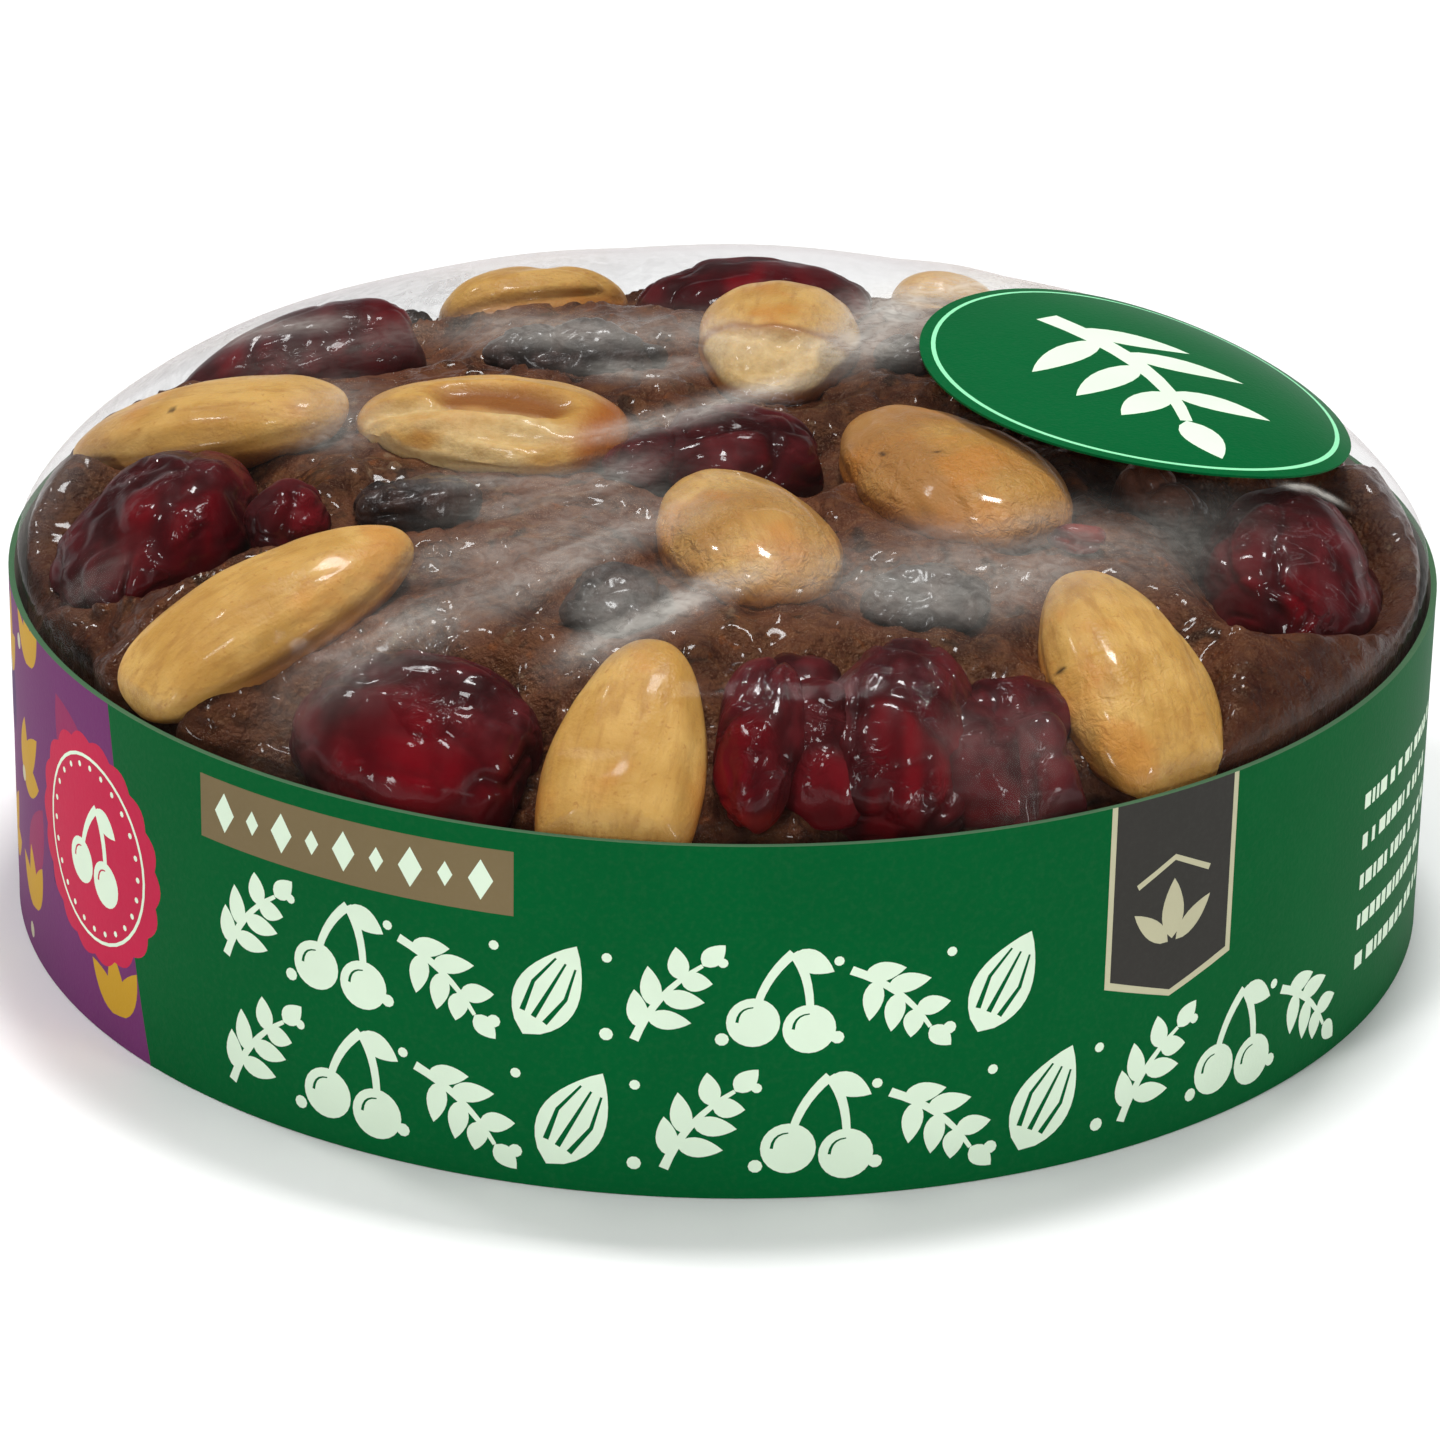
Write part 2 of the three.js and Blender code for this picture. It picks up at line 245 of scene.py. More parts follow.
def press_under_film(points):
    """Flattens whatever would touch the film, on the dome and on its side."""
    normal = dome_normal(points[:, 0], points[:, 1])
    depth = depth_under_film(points) * normal[:, 2]
    inward = soft_most(depth, UNDER_FILM, PRESS_SOFTNESS) - depth
    pressed = points - normal * inward[:, None]
    radius = away_from(pressed)
    kept = -soft_most(-radius, -CAKE_RADIUS, PRESS_SOFTNESS)
    pressed[:, :2] *= (kept / np.maximum(radius, 1e-6))[:, None]
    return pressed


def to_run(points, run):
    """How far points in plan lie from a run of points, how far along it, and its length."""
    nearest = np.full(len(points), np.inf)
    along = np.zeros(len(points))
    travelled = 0
    for start, end in zip(np.array(run[:-1], float), np.array(run[1:], float)):
        reach = end - start
        length = np.linalg.norm(reach)
        share = np.clip((points - start) @ reach / length**2, 0, 1)
        apart = np.linalg.norm(points - start - share[:, None] * reach, axis=1)
        closer = apart < nearest
        nearest = np.where(closer, apart, nearest)
        along = np.where(closer, travelled + share * length, along)
        travelled += length
    return nearest, along, travelled


# ---------- meshes ----------


def add_object(name, data):
    made = bpy.data.objects.new(name, data)
    bpy.context.scene.collection.objects.link(made)
    return made


def add_piece(name, points, faces, material, slot, *nodes):
    """A smooth mesh piece from points in millimetres that stands for the named solids."""
    mesh = bpy.data.meshes.new(name)
    mesh.from_pydata((np.asarray(points) * MM).tolist(), [], faces)
    mesh.polygons.foreach_set("use_smooth", [True] * len(mesh.polygons))
    mesh.materials.append(material)
    piece = add_object(name, mesh)
    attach(piece, BODY)
    if nodes:
        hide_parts(*nodes)
    return piece


def set_numbers(piece, **numbers):
    """Numbers at a piece's points, which its material reads by their names."""
    for name, values in numbers.items():
        attribute = piece.data.attributes.new(name, "FLOAT", "POINT")
        attribute.data.foreach_set("value", np.asarray(values, np.float32))


def set_grain(piece, values):
    """Places in metres that a topping's patterns are drawn on."""
    attribute = piece.data.attributes.new("grain", "FLOAT_VECTOR", "POINT")
    attribute.data.foreach_set("vector", np.asarray(values * MM, np.float32).ravel())


def ball(around, rings):
    """Directions of a unit ball with its poles at the two ends of X, and its faces."""
    points = [(1, 0, 0)]
    for ring in range(1, rings):
        polar = pi * ring / rings
        for i in range(around):
            turn = 2 * pi * i / around
            points.append((cos(polar), sin(polar) * cos(turn), sin(polar) * sin(turn)))
    points.append((-1, 0, 0))
    last = len(points) - 1
    faces = []
    for i in range(around):
        after = (i + 1) % around
        faces.append((0, 1 + i, 1 + after))
        faces.append((last, last - around + after, last - around + i))
        for ring in range(rings - 2):
            start = 1 + ring * around
            faces.append((start + i, start + around + i, start + around + after, start + after))
    return np.array(points), faces


def disc_grid(cells):
    """A square grid drawn out into a unit disc: points, faces and the rim's points in order."""
    line = np.linspace(-1, 1, cells + 1)
    u, v = (part.ravel() for part in np.meshgrid(line, line))
    wide = np.abs(u) >= np.abs(v)
    radius = np.where(wide, u, v)
    safe = np.where(radius == 0, 1, radius)
    turn = np.where(wide, pi / 4 * v / safe, pi / 2 - pi / 4 * u / safe)
    points = np.stack([radius * np.cos(turn), radius * np.sin(turn)], -1)
    row = cells + 1
    faces = []
    for j in range(cells):
        for i in range(cells):
            corner = j * row + i
            faces.append((corner, corner + 1, corner + row + 1, corner + row))
    rim = list(range(cells)) + [cells + j * row for j in range(cells)]
    rim += [row * row - 1 - i for i in range(cells)] + [(cells - j) * row for j in range(cells)]
    return points, faces, rim


def wrapped_body(cells, profile, skirt, relief):
    """A closed body: a fine cap that follows a profile out from the axis, and a plain skirt.

    profile and skirt are (radius, height) rows, and relief gives how far each point of the
    cap moves out along its normal.
    """
    flat, faces, rim = disc_grid(cells)
    profile = np.array(profile, float)
    lengths = np.linalg.norm(np.diff(profile, axis=0), axis=1)
    travelled = np.concatenate([[0], np.cumsum(lengths)]) / lengths.sum()
    share = np.minimum(np.hypot(flat[:, 0], flat[:, 1]), 1)
    turn = np.arctan2(flat[:, 1], flat[:, 0])
    radius = np.interp(share, travelled, profile[:, 0])
    height = np.interp(share, travelled, profile[:, 1])
    slope = np.gradient(profile, travelled, axis=0)
    out_r = np.interp(share, travelled, -slope[:, 1])
    out_z = np.interp(share, travelled, slope[:, 0])
    size = np.hypot(out_r, out_z)
    points = np.stack([radius * np.cos(turn), radius * np.sin(turn), height], -1)
    normal = np.stack([out_r * np.cos(turn), out_r * np.sin(turn), out_z], -1) / size[:, None]
    points += normal * relief(points)[:, None]
    points = points.tolist()
    ring = rim
    for skirt_radius, skirt_height in skirt:
        lower = []
        for index in rim:
            lower.append(len(points))
            turned = turn[index]
            points.append((skirt_radius * cos(turned), skirt_radius * sin(turned), skirt_height))
        for i in range(len(rim)):
            after = (i + 1) % len(rim)
            faces.append((ring[i], lower[i], lower[after], ring[after]))
        ring = lower
    points.append((0, 0, skirt[-1][1]))
    for i in range(len(rim)):
        faces.append((len(points) - 1, ring[(i + 1) % len(rim)], ring[i]))
    return np.array(points), faces


# ---------- materials ----------


def rgb(red, green, blue):
    """A colour of 0 to 255 a channel, as on a screen, as a shader's linear colour."""
    shares = [value / 255 for value in (red, green, blue)]
    return [s / 12.92 if s <= 0.04045 else ((s + 0.055) / 1.055) ** 2.4 for s in shares] + [1]


class Looks:
    """A material or world, with short calls that add nodes and link them."""

    def __init__(self, owner):
        self.owner = owner
        owner.use_nodes = True
        self.tree = owner.node_tree
        self.tree.nodes.clear()

    def feed(self, socket, value):
        if isinstance(value, bpy.types.NodeSocket):
            self.tree.links.new(value, socket)
        else:
            socket.default_value = value

    def node(self, kind, output=0, settings=None, fed=(), **inputs):
        """One output of a new node, whose inputs are fed in their order or by name."""
        made = self.tree.nodes.new("ShaderNode" + kind)
        for key, value in (settings or {}).items():
            setattr(made, key, value)
        for socket, value in zip(made.inputs, fed):
            self.feed(socket, value)
        for name, value in inputs.items():
            self.feed(made.inputs[name.replace("_", " ")], value)
        return made.outputs[output]

    def number(self, name):
        return self.node("Attribute", 2, {"attribute_name": name})

    def grain(self):
        return self.node("Attribute", 1, {"attribute_name": "grain"})

    def place(self):
        return self.node("TexCoord", 3)

    def stretch(self, vector, shares):
        return self.node("VectorMath", 0, {"operation": "MULTIPLY"}, (vector, shares))

    def noise(self, vector, size, detail=2.0, rough=0.5, warp=0.0):
        """Noise with features about size millimetres across."""
        return self.node(
            "TexNoise", Vector=vector, Scale=1 / (size * MM), Detail=detail, Roughness=rough,
            Distortion=warp,
        )

    def math(self, operation, a, b):
        return self.node("Math", 0, {"operation": operation}, (a, b))

    def plus(self, a, b):
        return self.math("ADD", a, b)

    def times(self, a, b):
        return self.math("MULTIPLY", a, b)

    def span(self, value, low, high, start=0.0, end=1.0):
        """Goes smoothly from start to end as the value goes from low to high."""
        smooth = {"interpolation_type": "SMOOTHSTEP"}
        return self.node("MapRange", 0, smooth, (value, low, high, start, end))

    def mix(self, share, a, b):
        made = self.tree.nodes.new("ShaderNodeMix")
        made.data_type = "RGBA"
        for index, value in ((0, share), (6, a), (7, b)):
            self.feed(made.inputs[index], value)
        return made.outputs[2]

    def marked(self, colour, name, tint):
        """The colour, turned to a tint as far as a piece's own numbers say."""
        return self.mix(self.number(name), colour, tint)

    def patched(self, colour, tint, bounds, *noise):
        """The colour, turned to a tint in patches.

        They grow as the noise goes from the first bound to the second, and the third says how
        far they turn at most.
        """
        low, high, most = bounds
        return self.mix(self.span(self.noise(*noise), low, high, 0, most), colour, tint)

    def blend(self, share, a, b):
        return self.node("MixShader", 0, None, (share, a, b))

    def wet(self, shader, share, roughness, normal):
        """Syrup over a shader, whose gleam is as strong from every side."""
        gleam = self.node("BsdfGlossy", Color=rgb(255, 255, 255), Roughness=roughness, Normal=normal)
        return self.blend(share, shader, gleam)

    def bump(self, height, distance, strength):
        return self.node("Bump", Strength=strength, Distance=distance * MM, Height=height)

    def finish(self, shader, kind="Material"):
        output = self.tree.nodes.new("ShaderNodeOutput" + kind)
        self.feed(output.inputs["Surface"], shader)
        return self.owner

    def solid(self, **inputs):
        return self.finish(self.node("BsdfPrincipled", **inputs))


def material_looks(name):
    return Looks(bpy.data.materials.new(name))


def almond_looks():
    looks = material_looks("almond")
    grain = looks.grain()
    drawn = looks.stretch(grain, (0.2, 1, 1))
    colour = looks.patched(rgb(190, 143, 72), rgb(212, 168, 96), (0.38, 0.66, 1), grain, 6, 3)
    colour = looks.patched(colour, rgb(166, 116, 58), (0.44, 0.72, 0.6), drawn, 1.1, 4, 0.65)
    colour = looks.marked(colour, "tan", rgb(166, 116, 62))
    colour = looks.patched(colour, rgb(170, 112, 56), (0.62, 0.72, 0.5), grain, 0.5, 2, 0.6)
    colour = looks.patched(colour, rgb(200, 128, 52), (0.52, 0.7, 0.5), grain, 7, 3)
    amber = looks.math("MAXIMUM", looks.number("amber"), looks.number("sunk"))
    colour = looks.mix(amber, colour, rgb(166, 96, 38))
    # Painted shade: brown in the split almond's hollow and along the broken almond's edge.
    colour = looks.marked(colour, "painted_shade", rgb(138, 84, 38))
    flesh = looks.mix(looks.noise(grain, 0.8, 3), rgb(182, 144, 86), rgb(226, 196, 142))
    colour = looks.marked(colour, "torn", flesh)
    colour = looks.marked(colour, "speck", rgb(44, 28, 16))
    roughness = looks.span(looks.noise(grain, 2.2, 3), 0.35, 0.7, 0.34, 0.52)
    roughness = looks.plus(roughness, looks.times(looks.number("torn"), 0.3))
    fine = looks.plus(looks.noise(drawn, 0.7, 4, 0.6), looks.noise(grain, 0.35, 2))
    glaze = looks.number("glaze")
    wet = looks.times(glaze, looks.noise(grain, 1.2, 3, 0.6, 0.6))
    relief = looks.plus(looks.times(fine, 0.3), looks.times(wet, 3))
    return looks.solid(
        Base_Color=colour, Roughness=roughness, Normal=looks.bump(relief, 0.3, 0.7),
        Subsurface_Weight=0.18, Subsurface_Radius=(1.0, 0.55, 0.2), Subsurface_Scale=0.0016,
        Specular_IOR_Level=0.16, Coat_Weight=looks.plus(looks.times(glaze, 0.4), 0.1),
        Coat_Roughness=0.1,
    )


def cherry_looks():
    looks = material_looks("glace cherry")
    grain = looks.grain()
    colour = looks.patched(rgb(50, 9, 11), rgb(88, 26, 30), (0.35, 0.65, 1), grain, 4, 3)
    painted_glow = looks.marked(rgb(60, 1, 7), "stripes", rgb(112, 4, 17))
    # Painted light: brighter crimson, in stripes, on the side where the glow points.
    colour = looks.marked(colour, "glow", painted_glow)
    colour = looks.marked(colour, "orange", rgb(138, 32, 20))
    # Painted shade: the skin darker in its creases.
    colour = looks.mix(looks.times(looks.number("crease_shade"), 0.5), colour, rgb(34, 8, 10))
    # Painted reflections: faint mauve patches on the skin.
    colour = looks.patched(colour, rgb(112, 54, 64), (0.58, 0.8, 0.15), grain, 3.4, 4, 0.6)
    syrup = looks.noise(grain, 1.9, 3, 0.45, 1.4)
    sugar = looks.span(looks.noise(grain, 5, 2), 0.5, 0.7, 0.1, 1)
    normal = looks.bump(looks.times(syrup, sugar), 0.8, 0.7)
    fruit = looks.node(
        "BsdfPrincipled", Base_Color=colour, Roughness=0.42, Normal=normal,
        Subsurface_Weight=0.1, Subsurface_Radius=(1.0, 0.12, 0.1), Subsurface_Scale=0.002,
        Specular_IOR_Level=0.05, Coat_Weight=0.14, Coat_Roughness=0.05,
    )
    return looks.finish(looks.wet(fruit, 0.008, 0.045, normal))


def raisin_looks():
    looks = material_looks("raisin")
    grain = looks.grain()
    colour = looks.patched(rgb(30, 21, 20), rgb(66, 46, 40), (0.35, 0.7, 1), grain, 2.5, 3)
    colour = looks.patched(colour, rgb(112, 108, 108), (0.56, 0.8, 0.35), grain, 1.1, 4)
    colour = looks.marked(colour, "brown", rgb(104, 60, 42))
    fine = looks.noise(grain, 0.6, 4, 0.6, 0.5)
    return looks.solid(
        Base_Color=colour, Roughness=0.36, Normal=looks.bump(fine, 0.3, 0.7),
        Specular_IOR_Level=0.2, Coat_Weight=0.3, Coat_Roughness=0.16,
    )


def cake_looks():
    looks = material_looks("dark fruit cake")
    place = looks.place()
    colour = looks.patched(
        rgb(58, 26, 16), rgb(98, 56, 37), (0.34, 0.66, 1), place, 7, 4, 0.55, 0.5)
    colour = looks.patched(colour, rgb(116, 74, 46), (0.42, 0.7, 0.6), place, 1.6, 5, 0.65)
    colour = looks.patched(colour, rgb(30, 15, 12), (0.56, 0.7, 0.8), place, 3.2, 3, 0.5, 0.8)
    colour = looks.patched(colour, rgb(124, 66, 28), (0.62, 0.74, 0.6), place, 1.8, 3, 0.5, 0.5)
    colour = looks.patched(colour, rgb(128, 104, 80), (0.64, 0.76, 0.7), place, 2.4, 3, 0.5, 0.3)
    # Painted shade: the cake darker toward its rim.
    colour = looks.marked(colour, "crust", rgb(48, 18, 14))
    roughness = looks.span(looks.noise(place, 3, 4), 0.35, 0.7, 0.18, 0.55)
    relief = looks.plus(looks.noise(place, 1.1, 5, 0.65), looks.noise(place, 0.45, 3))
    return looks.solid(
        Base_Color=colour, Roughness=roughness, Normal=looks.bump(relief, 0.4, 0.8),
        Specular_IOR_Level=0.22, Specular_Tint=rgb(255, 206, 150), Coat_Weight=0.22,
        Coat_Roughness=0.07,
    )


def film_looks():
    """Clear film that is milky in its creases and in painted glare, and dims and mirrors more where
    it turns away.
    """
    looks = material_looks("shrink film")
    place = looks.place()
    wisps = looks.span(looks.noise(place, 1.5, 4, 0.6, 1.0), 0.3, 0.7, 0.65, 1.15)
    # The haze is partly milk in the film and partly painted glare.
    haze_and_glare = looks.times(looks.number("haze"), wisps)
    lines = looks.math("SUBTRACT", looks.noise(place, 4.4, 2, 0.5, 1.6), 0.5)
    lines = looks.math("ABSOLUTE", lines, 0)
    ridges = looks.times(looks.number("crinkle"), looks.span(lines, 0, 0.07, 1, 0))
    relief = looks.plus(looks.times(looks.noise(place, 5, 2), 0.25), ridges)
    normal = looks.bump(relief, 0.35, 0.8)
    facing = looks.node("LayerWeight", 1, Blend=0.5)
    grazing = looks.times(looks.math("POWER", facing, 7), 0.28)
    mirror = looks.plus(looks.plus(grazing, looks.times(ridges, 0.05)), 0.001)
    edge = looks.math("POWER", facing, 4)
    tint = looks.mix(edge, rgb(250, 251, 251), rgb(226, 221, 221))
    clear = looks.node("BsdfTransparent", Color=tint)
    gloss = looks.node("BsdfGlossy", Color=rgb(250, 250, 250), Roughness=0.07, Normal=normal)
    milky = looks.node("BsdfDiffuse", Color=rgb(226, 221, 212))
    return looks.finish(looks.blend(haze_and_glare, looks.blend(mirror, clear, gloss), milky))


def printed_looks(name, roughness, coat):
    """Printed card or paper: colours come with the mesh, the fibre and lacquer from here."""
    looks = material_looks(name)
    place = looks.place()
    ink = looks.node("Attribute", 0, {"attribute_name": "print"})
    ink = looks.patched(ink, rgb(20, 40, 30), (0.3, 0.7, 0.06), place, 9, 3)
    ink = looks.patched(ink, rgb(235, 235, 225), (0.4, 0.8, 0.006), place, 0.5, 4, 0.6)
    relief = looks.plus(looks.noise(place, 0.35, 3), looks.noise(place, 14, 2))
    return looks.solid(
        Base_Color=ink, Roughness=roughness, Normal=looks.bump(relief, 0.05, 0.5),
        Specular_IOR_Level=0.03, Coat_Weight=coat, Coat_Roughness=0.22,
    )


# ---------- toppings ----------

ALMOND_MARKS = ("torn", "painted_shade", "speck", "tan", "glaze", "amber")
# The depths of the seam and the ribs are in millimetres, other sizes shares of half sizes.
ALMOND_SEAM = 0.22
ALMOND_RIBS = 0.05
ALMOND_TAPER = 0.2
ALMOND_BELLY = 0.1
ALMOND_THINNING = 0.06
ALMOND_BLUNTNESS = 0.1
CHERRY_SIZE = 0.965
CHERRY_FOLDS = (0.045, 0.03)
CHERRY_DENT = 0.16
CHERRY_DENT_TIGHTNESS = 10
RAISIN_SIZE = 0.94
RAISIN_WRINKLES = 0.09
RAISIN_WAIST = 0.05


def topping_frame(item):
    """A topping's middle, and its along, across and up directions as rows."""
    up = dome_normal(np.array(item["x"], float), np.array(item["y"], float))
    heading = radians(item["heading"])
    along = np.array([cos(heading), sin(heading), 0])
    along -= up * (along @ up)
    along /= np.linalg.norm(along)
    depth = TOPPING_UNDER_FILM + item["deeper"] + item["thick"] / 2
    touch = np.array([item["x"], item["y"], dome_height(np.hypot(item["x"], item["y"]))])
    return touch - up * depth, np.array([along, np.cross(up, along), up])


def half_sizes(item):
    return np.array([item["length"], item["width"], item["thick"]]) / 2


def almond_form(unit, item, seed):
    """A blanched almond in millimetres round its middle, and the marks on it."""
    half = half_sizes(item)
    x, y, z = unit.T
    middle = 1 - x**2
    top = np.maximum(z, 0)
    blunt = np.maximum(middle, 0.02) ** -item.get("blunt", ALMOND_BLUNTNESS)
    y = y * (1 - ALMOND_TAPER * x) * (1 + ALMOND_BELLY * (middle - 0.5)) * blunt
    z = z * (1 - ALMOND_THINNING * x)
    grain = np.stack([x, y, z], -1) * half
    marks = {key: np.zeros(len(unit)) for key in ALMOND_MARKS}
    drawn = grain * (0.22, 1, 1)
    if item.get("split"):
        dish = ((x + 0.1) / 0.5) ** 2 + ((y - 0.12) / 0.36) ** 2
        hollow = step(-dish, -1.5, -0.5) * step(z, 0, 0.3)
        z = z - 0.3 * hollow
        # Painted shade, darker on one side of the hollow.
        marks["painted_shade"] = hollow * step(-y + 0.1 * soft_noise(grain, 3, seed), -0.34, -0.14)
        near = step(y + 0.12 * soft_noise(grain, 3, seed + 5), 0.2, 0.4)
        ragged = near * step(z, -0.5, -0.1) * step(x, -0.8, -0.5)
        z = z + ragged * (0.22 * layered_noise(drawn, 1.8, seed + 1) - 0.1)
        marks["torn"] = ragged * step(layered_noise(drawn, 1.6, seed + 2), -0.5, 0.3)
        marks["amber"] = step(-x, 0.62, 0.85)
    if item.get("broken"):
        edge = 0.46 - 0.35 * np.clip(np.abs(y - 0.1) - 0.3, 0, 1)
        edge += 0.06 * soft_noise(grain, 4, seed)
        near = step(x, edge, edge + 0.08)
        face = 0.72 - 0.95 * (x - edge) + 0.16 * layered_noise(grain, 2.2, seed + 1)
        z = np.where(near > 0, np.minimum(z, z * (1 - near) + near * face), z)
        y = y * (1 + 0.22 * step(x, 0.5, 0.98))
        marks["torn"] = near * step(top, 0.02, 0.15)
        # A painted shadow: a brown line along the break.
        marks["painted_shade"] = 0.8 * bell(x - edge + 0.03, 0.06) * step(top, 0, 0.2)
    turn = np.arctan2(unit[:, 2], unit[:, 1])
    ribs = ALMOND_RIBS * np.cos(11 * turn + 2.5 * soft_noise(grain, 9, seed + 3)) * middle
    seam = -ALMOND_SEAM * bell(unit[:, 2], 0.09) * middle
    lumps = 0.2 * soft_noise(grain, 6, seed + 4) + 0.07 * soft_noise(grain, 2.5, seed + 6)
    furrows = -item.get("furrows", 0.05) * creased(drawn, 3.4, seed + 7, 0.22) * middle
    outward = unit / np.linalg.norm(unit / half, axis=1)[:, None] / half
    outward /= np.linalg.norm(outward, axis=1)[:, None]
    local = np.stack([x, y, z], -1) * half
    local += outward * (ribs + seam + lumps + furrows)[:, None]
    for across, beside in item.get("specks", ()):
        away = np.hypot((x - across) * half[0], (y - beside) * half[1])
        marks["speck"] = np.maximum(marks["speck"], np.exp(-((away / 0.3) ** 4)) * (z > 0))
    marks["tan"] = 0.75 * item.get("tan", 0) * step(soft_noise(grain, 7, seed + 8), -0.9, 0.3)
    wet = step(soft_noise(grain, 5, seed + 9) - 0.5 * x + 0.2, 0, 0.4)
    marks["glaze"] = item.get("glaze", 0.15) * wet
    return local, marks


def cherry_form(unit, item, seed):
    """A glace cherry: a soft ball with a stem dent, sunken folds and wrinkled skin."""
    half = half_sizes(item)
    index = item["index"]
    turn = np.arctan2(unit[:, 2], unit[:, 1])
    middle = 1 - unit[:, 0] ** 2
    deep, wide = CHERRY_FOLDS
    folds = deep * np.cos(3 * turn + index) + wide * np.cos(2 * turn + 2 * index)
    dent = CHERRY_DENT * np.exp(-CHERRY_DENT_TIGHTNESS * (1 - unit[:, 0]))
    local = unit * (CHERRY_SIZE + folds * middle - dent)[:, None] * half
    warped = local * (0.45, 1, 1) + 0.8 * sway(local, 4, seed)
    wide_creases = creased(warped, 4.2, seed + 3, 0.16)
    fine_creases = creased(warped, 1.9, seed + 4, 0.2)
    lumps = 0.35 * soft_noise(local, 5, seed + 5) + 0.12 * soft_noise(local, 2, seed + 6)
    relief = lumps - 0.42 * wide_creases - 0.14 * fine_creases
    local = local + unit * relief[:, None]
    heading, rise = (radians(angle) for angle in item["glow"])
    toward = np.array([cos(heading) * cos(rise), sin(heading) * cos(rise), sin(rise)])
    _, axes = topping_frame(item)
    # How far each point faces the painted glow.
    facing = (unit @ axes) @ toward + 0.22 * soft_noise(local, 4, seed + 7)
    banded = layered_noise((local @ axes) * (1, 0.22, 0.25), 2.6, seed + 9, 2)
    low_side = step(soft_noise(local, 4, seed + 8) - 0.14 * local[:, 2], -0.2, 0.5)
    return local, {
        "stripes": step(banded, -0.45, 0.5),
        "glow": step(facing, 0.35, 0.95),
        # Where painted shade darkens the creases.
        "crease_shade": np.maximum(wide_creases, 0.5 * fine_creases),
        "orange": item.get("orange", 0) * low_side,
    }


def raisin_form(unit, item, seed):
    """A raisin: a flattened body gathered into deep wrinkles."""
    half = half_sizes(item)
    index = item["index"]
    turn = np.arctan2(unit[:, 2], unit[:, 1])
    middle = 1 - unit[:, 0] ** 2
    wrinkles = RAISIN_WRINKLES * np.cos(3 * turn + 1.7 * index) * middle
    waist = RAISIN_WAIST * np.sin(5 * unit[:, 0] + index)
    local = unit * (RAISIN_SIZE + wrinkles + waist)[:, None] * half
    warped = local + 0.9 * sway(local, 3, seed)
    creases = creased(warped * (0.6, 1, 1), 2.6, seed + 3, 0.22)
    fine = creased(warped, 1.3, seed + 4, 0.25)
    lumps = 0.45 * soft_noise(local, 3.4, seed + 5)
    local = local + unit * (lumps - 0.5 * creases - 0.2 * fine)[:, None]
    return local, {"brown": np.full(len(unit), item.get("brown", 0.0))}


KINDS = [
    {"name": "almond", "piece": "blanched_almond", "items": ALMONDS, "form": almond_form,
     "around": 96, "rings": 120, "looks": almond_looks, "seed": 100},
    {"name": "cherry", "piece": "glace_cherry", "items": CHERRIES, "form": cherry_form,
     "around": 120, "rings": 96, "looks": cherry_looks, "seed": 300},
    {"name": "raisin", "piece": "dried_raisin", "items": RAISINS, "form": raisin_form,
     "around": 72, "rings": 56, "looks": raisin_looks, "seed": 500},
]
# Depths under the film between which an almond turns amber, its deeper parts more so.
SUNK_FROM = 3.2
SUNK_TO = 6.5


def shaped(form, unit, item, seed):
    """A topping's points where it lies, its points round its own middle, and its marks."""
    local, marks = form(unit, item, seed)
    middle, axes = topping_frame(item)
    return press_under_film(middle + local @ axes), local, marks


def add_toppings():
    """Adds all nuts and fruit, and gives the material of each kind by its name."""
    materials = {}
    for kind in KINDS:
        material = kind["looks"]()
        materials[kind["name"]] = material
        unit, faces = ball(kind["around"], kind["rings"])
        for index, item in enumerate(kind["items"]):
            item["index"] = index
            points, local, marks = shaped(kind["form"], unit, item, kind["seed"] + 11 * index)
            node = f"{kind['name']}_{index + 1}"
            name = f"{kind['piece']}_{index + 1}"
            piece = add_piece(name, points, faces, material, kind["name"], node)
            set_grain(piece, local + 40 * index)
            sunk = step(depth_under_film(points), SUNK_FROM, SUNK_TO)
            set_numbers(piece, sunk=sunk, **marks)
    return materials


# ---------- the cake ----------

CAKE_CELLS = 290
SKIRT_TOP = 24
# The cake sinks round each topping in a moat. This is how wide one is, how much wider for
# each millimetre of its depth, and down to which share of the topping's thickness it goes.
MOAT_SPREAD = 1.6
MOAT_WIDENING = 0.5
MOAT_SHARE = 0.55
# Within the second distance from the rim moats get narrower, down to a share at the first.
RIM_ROOM = (1.5, 11)
NARROWEST_MOAT = 0.12
# How far the cake slumps at the back left, and swells toward the film along its rim elsewhere.
SLUMP = 1.8
SIDE_SWELL = 1.1
# How dark the painted shade is toward the cake's rim, and the distances from the axis where it sets
# in.
RIM_SHADE = 0.6
RIM_SHADE_FROM = 49
RIM_SHADE_TO = 58
# Where the cake lies lower between its toppings: x, y, reach and depth.
DIPS = [(-50.5, -22.5, 7, 4.5), (-2, -9, 5, 1.5), (-16, -46, 5, 2)]


def cake_under(share):
    """How deep the bare cake lies under the film at a share of the dome's radius."""
    toward_middle = step(1 - share, 0.05, 0.4)
    return CAKE_UNDER_SHOULDER + (CAKE_UNDER_TOP - CAKE_UNDER_SHOULDER) * toward_middle


def cake_profile():
    """Radius and height of the bare cake's top from its middle out and down its side."""
    profile = []
    for share in np.linspace(0, FILM_RADIUS / BAND_RADIUS - 0.001, 240):
        radius = share * BAND_RADIUS
        under = cake_under(share)
        normal = dome_normal(np.array(radius), np.array(0.0))
        place = min(radius - normal[0] * under, CAKE_RADIUS)
        if not profile or place > profile[-1][0] + 1e-3:
            profile.append((place, float(dome_height(radius)) - normal[2] * under))
    place, height = profile[-1]
    for t in (0.4, 0.8, 1):
        profile.append((place + (CAKE_RADIUS - place) * t, height - 1.2 * t))
    profile.append((CAKE_RADIUS, SKIRT_TOP))
    return profile


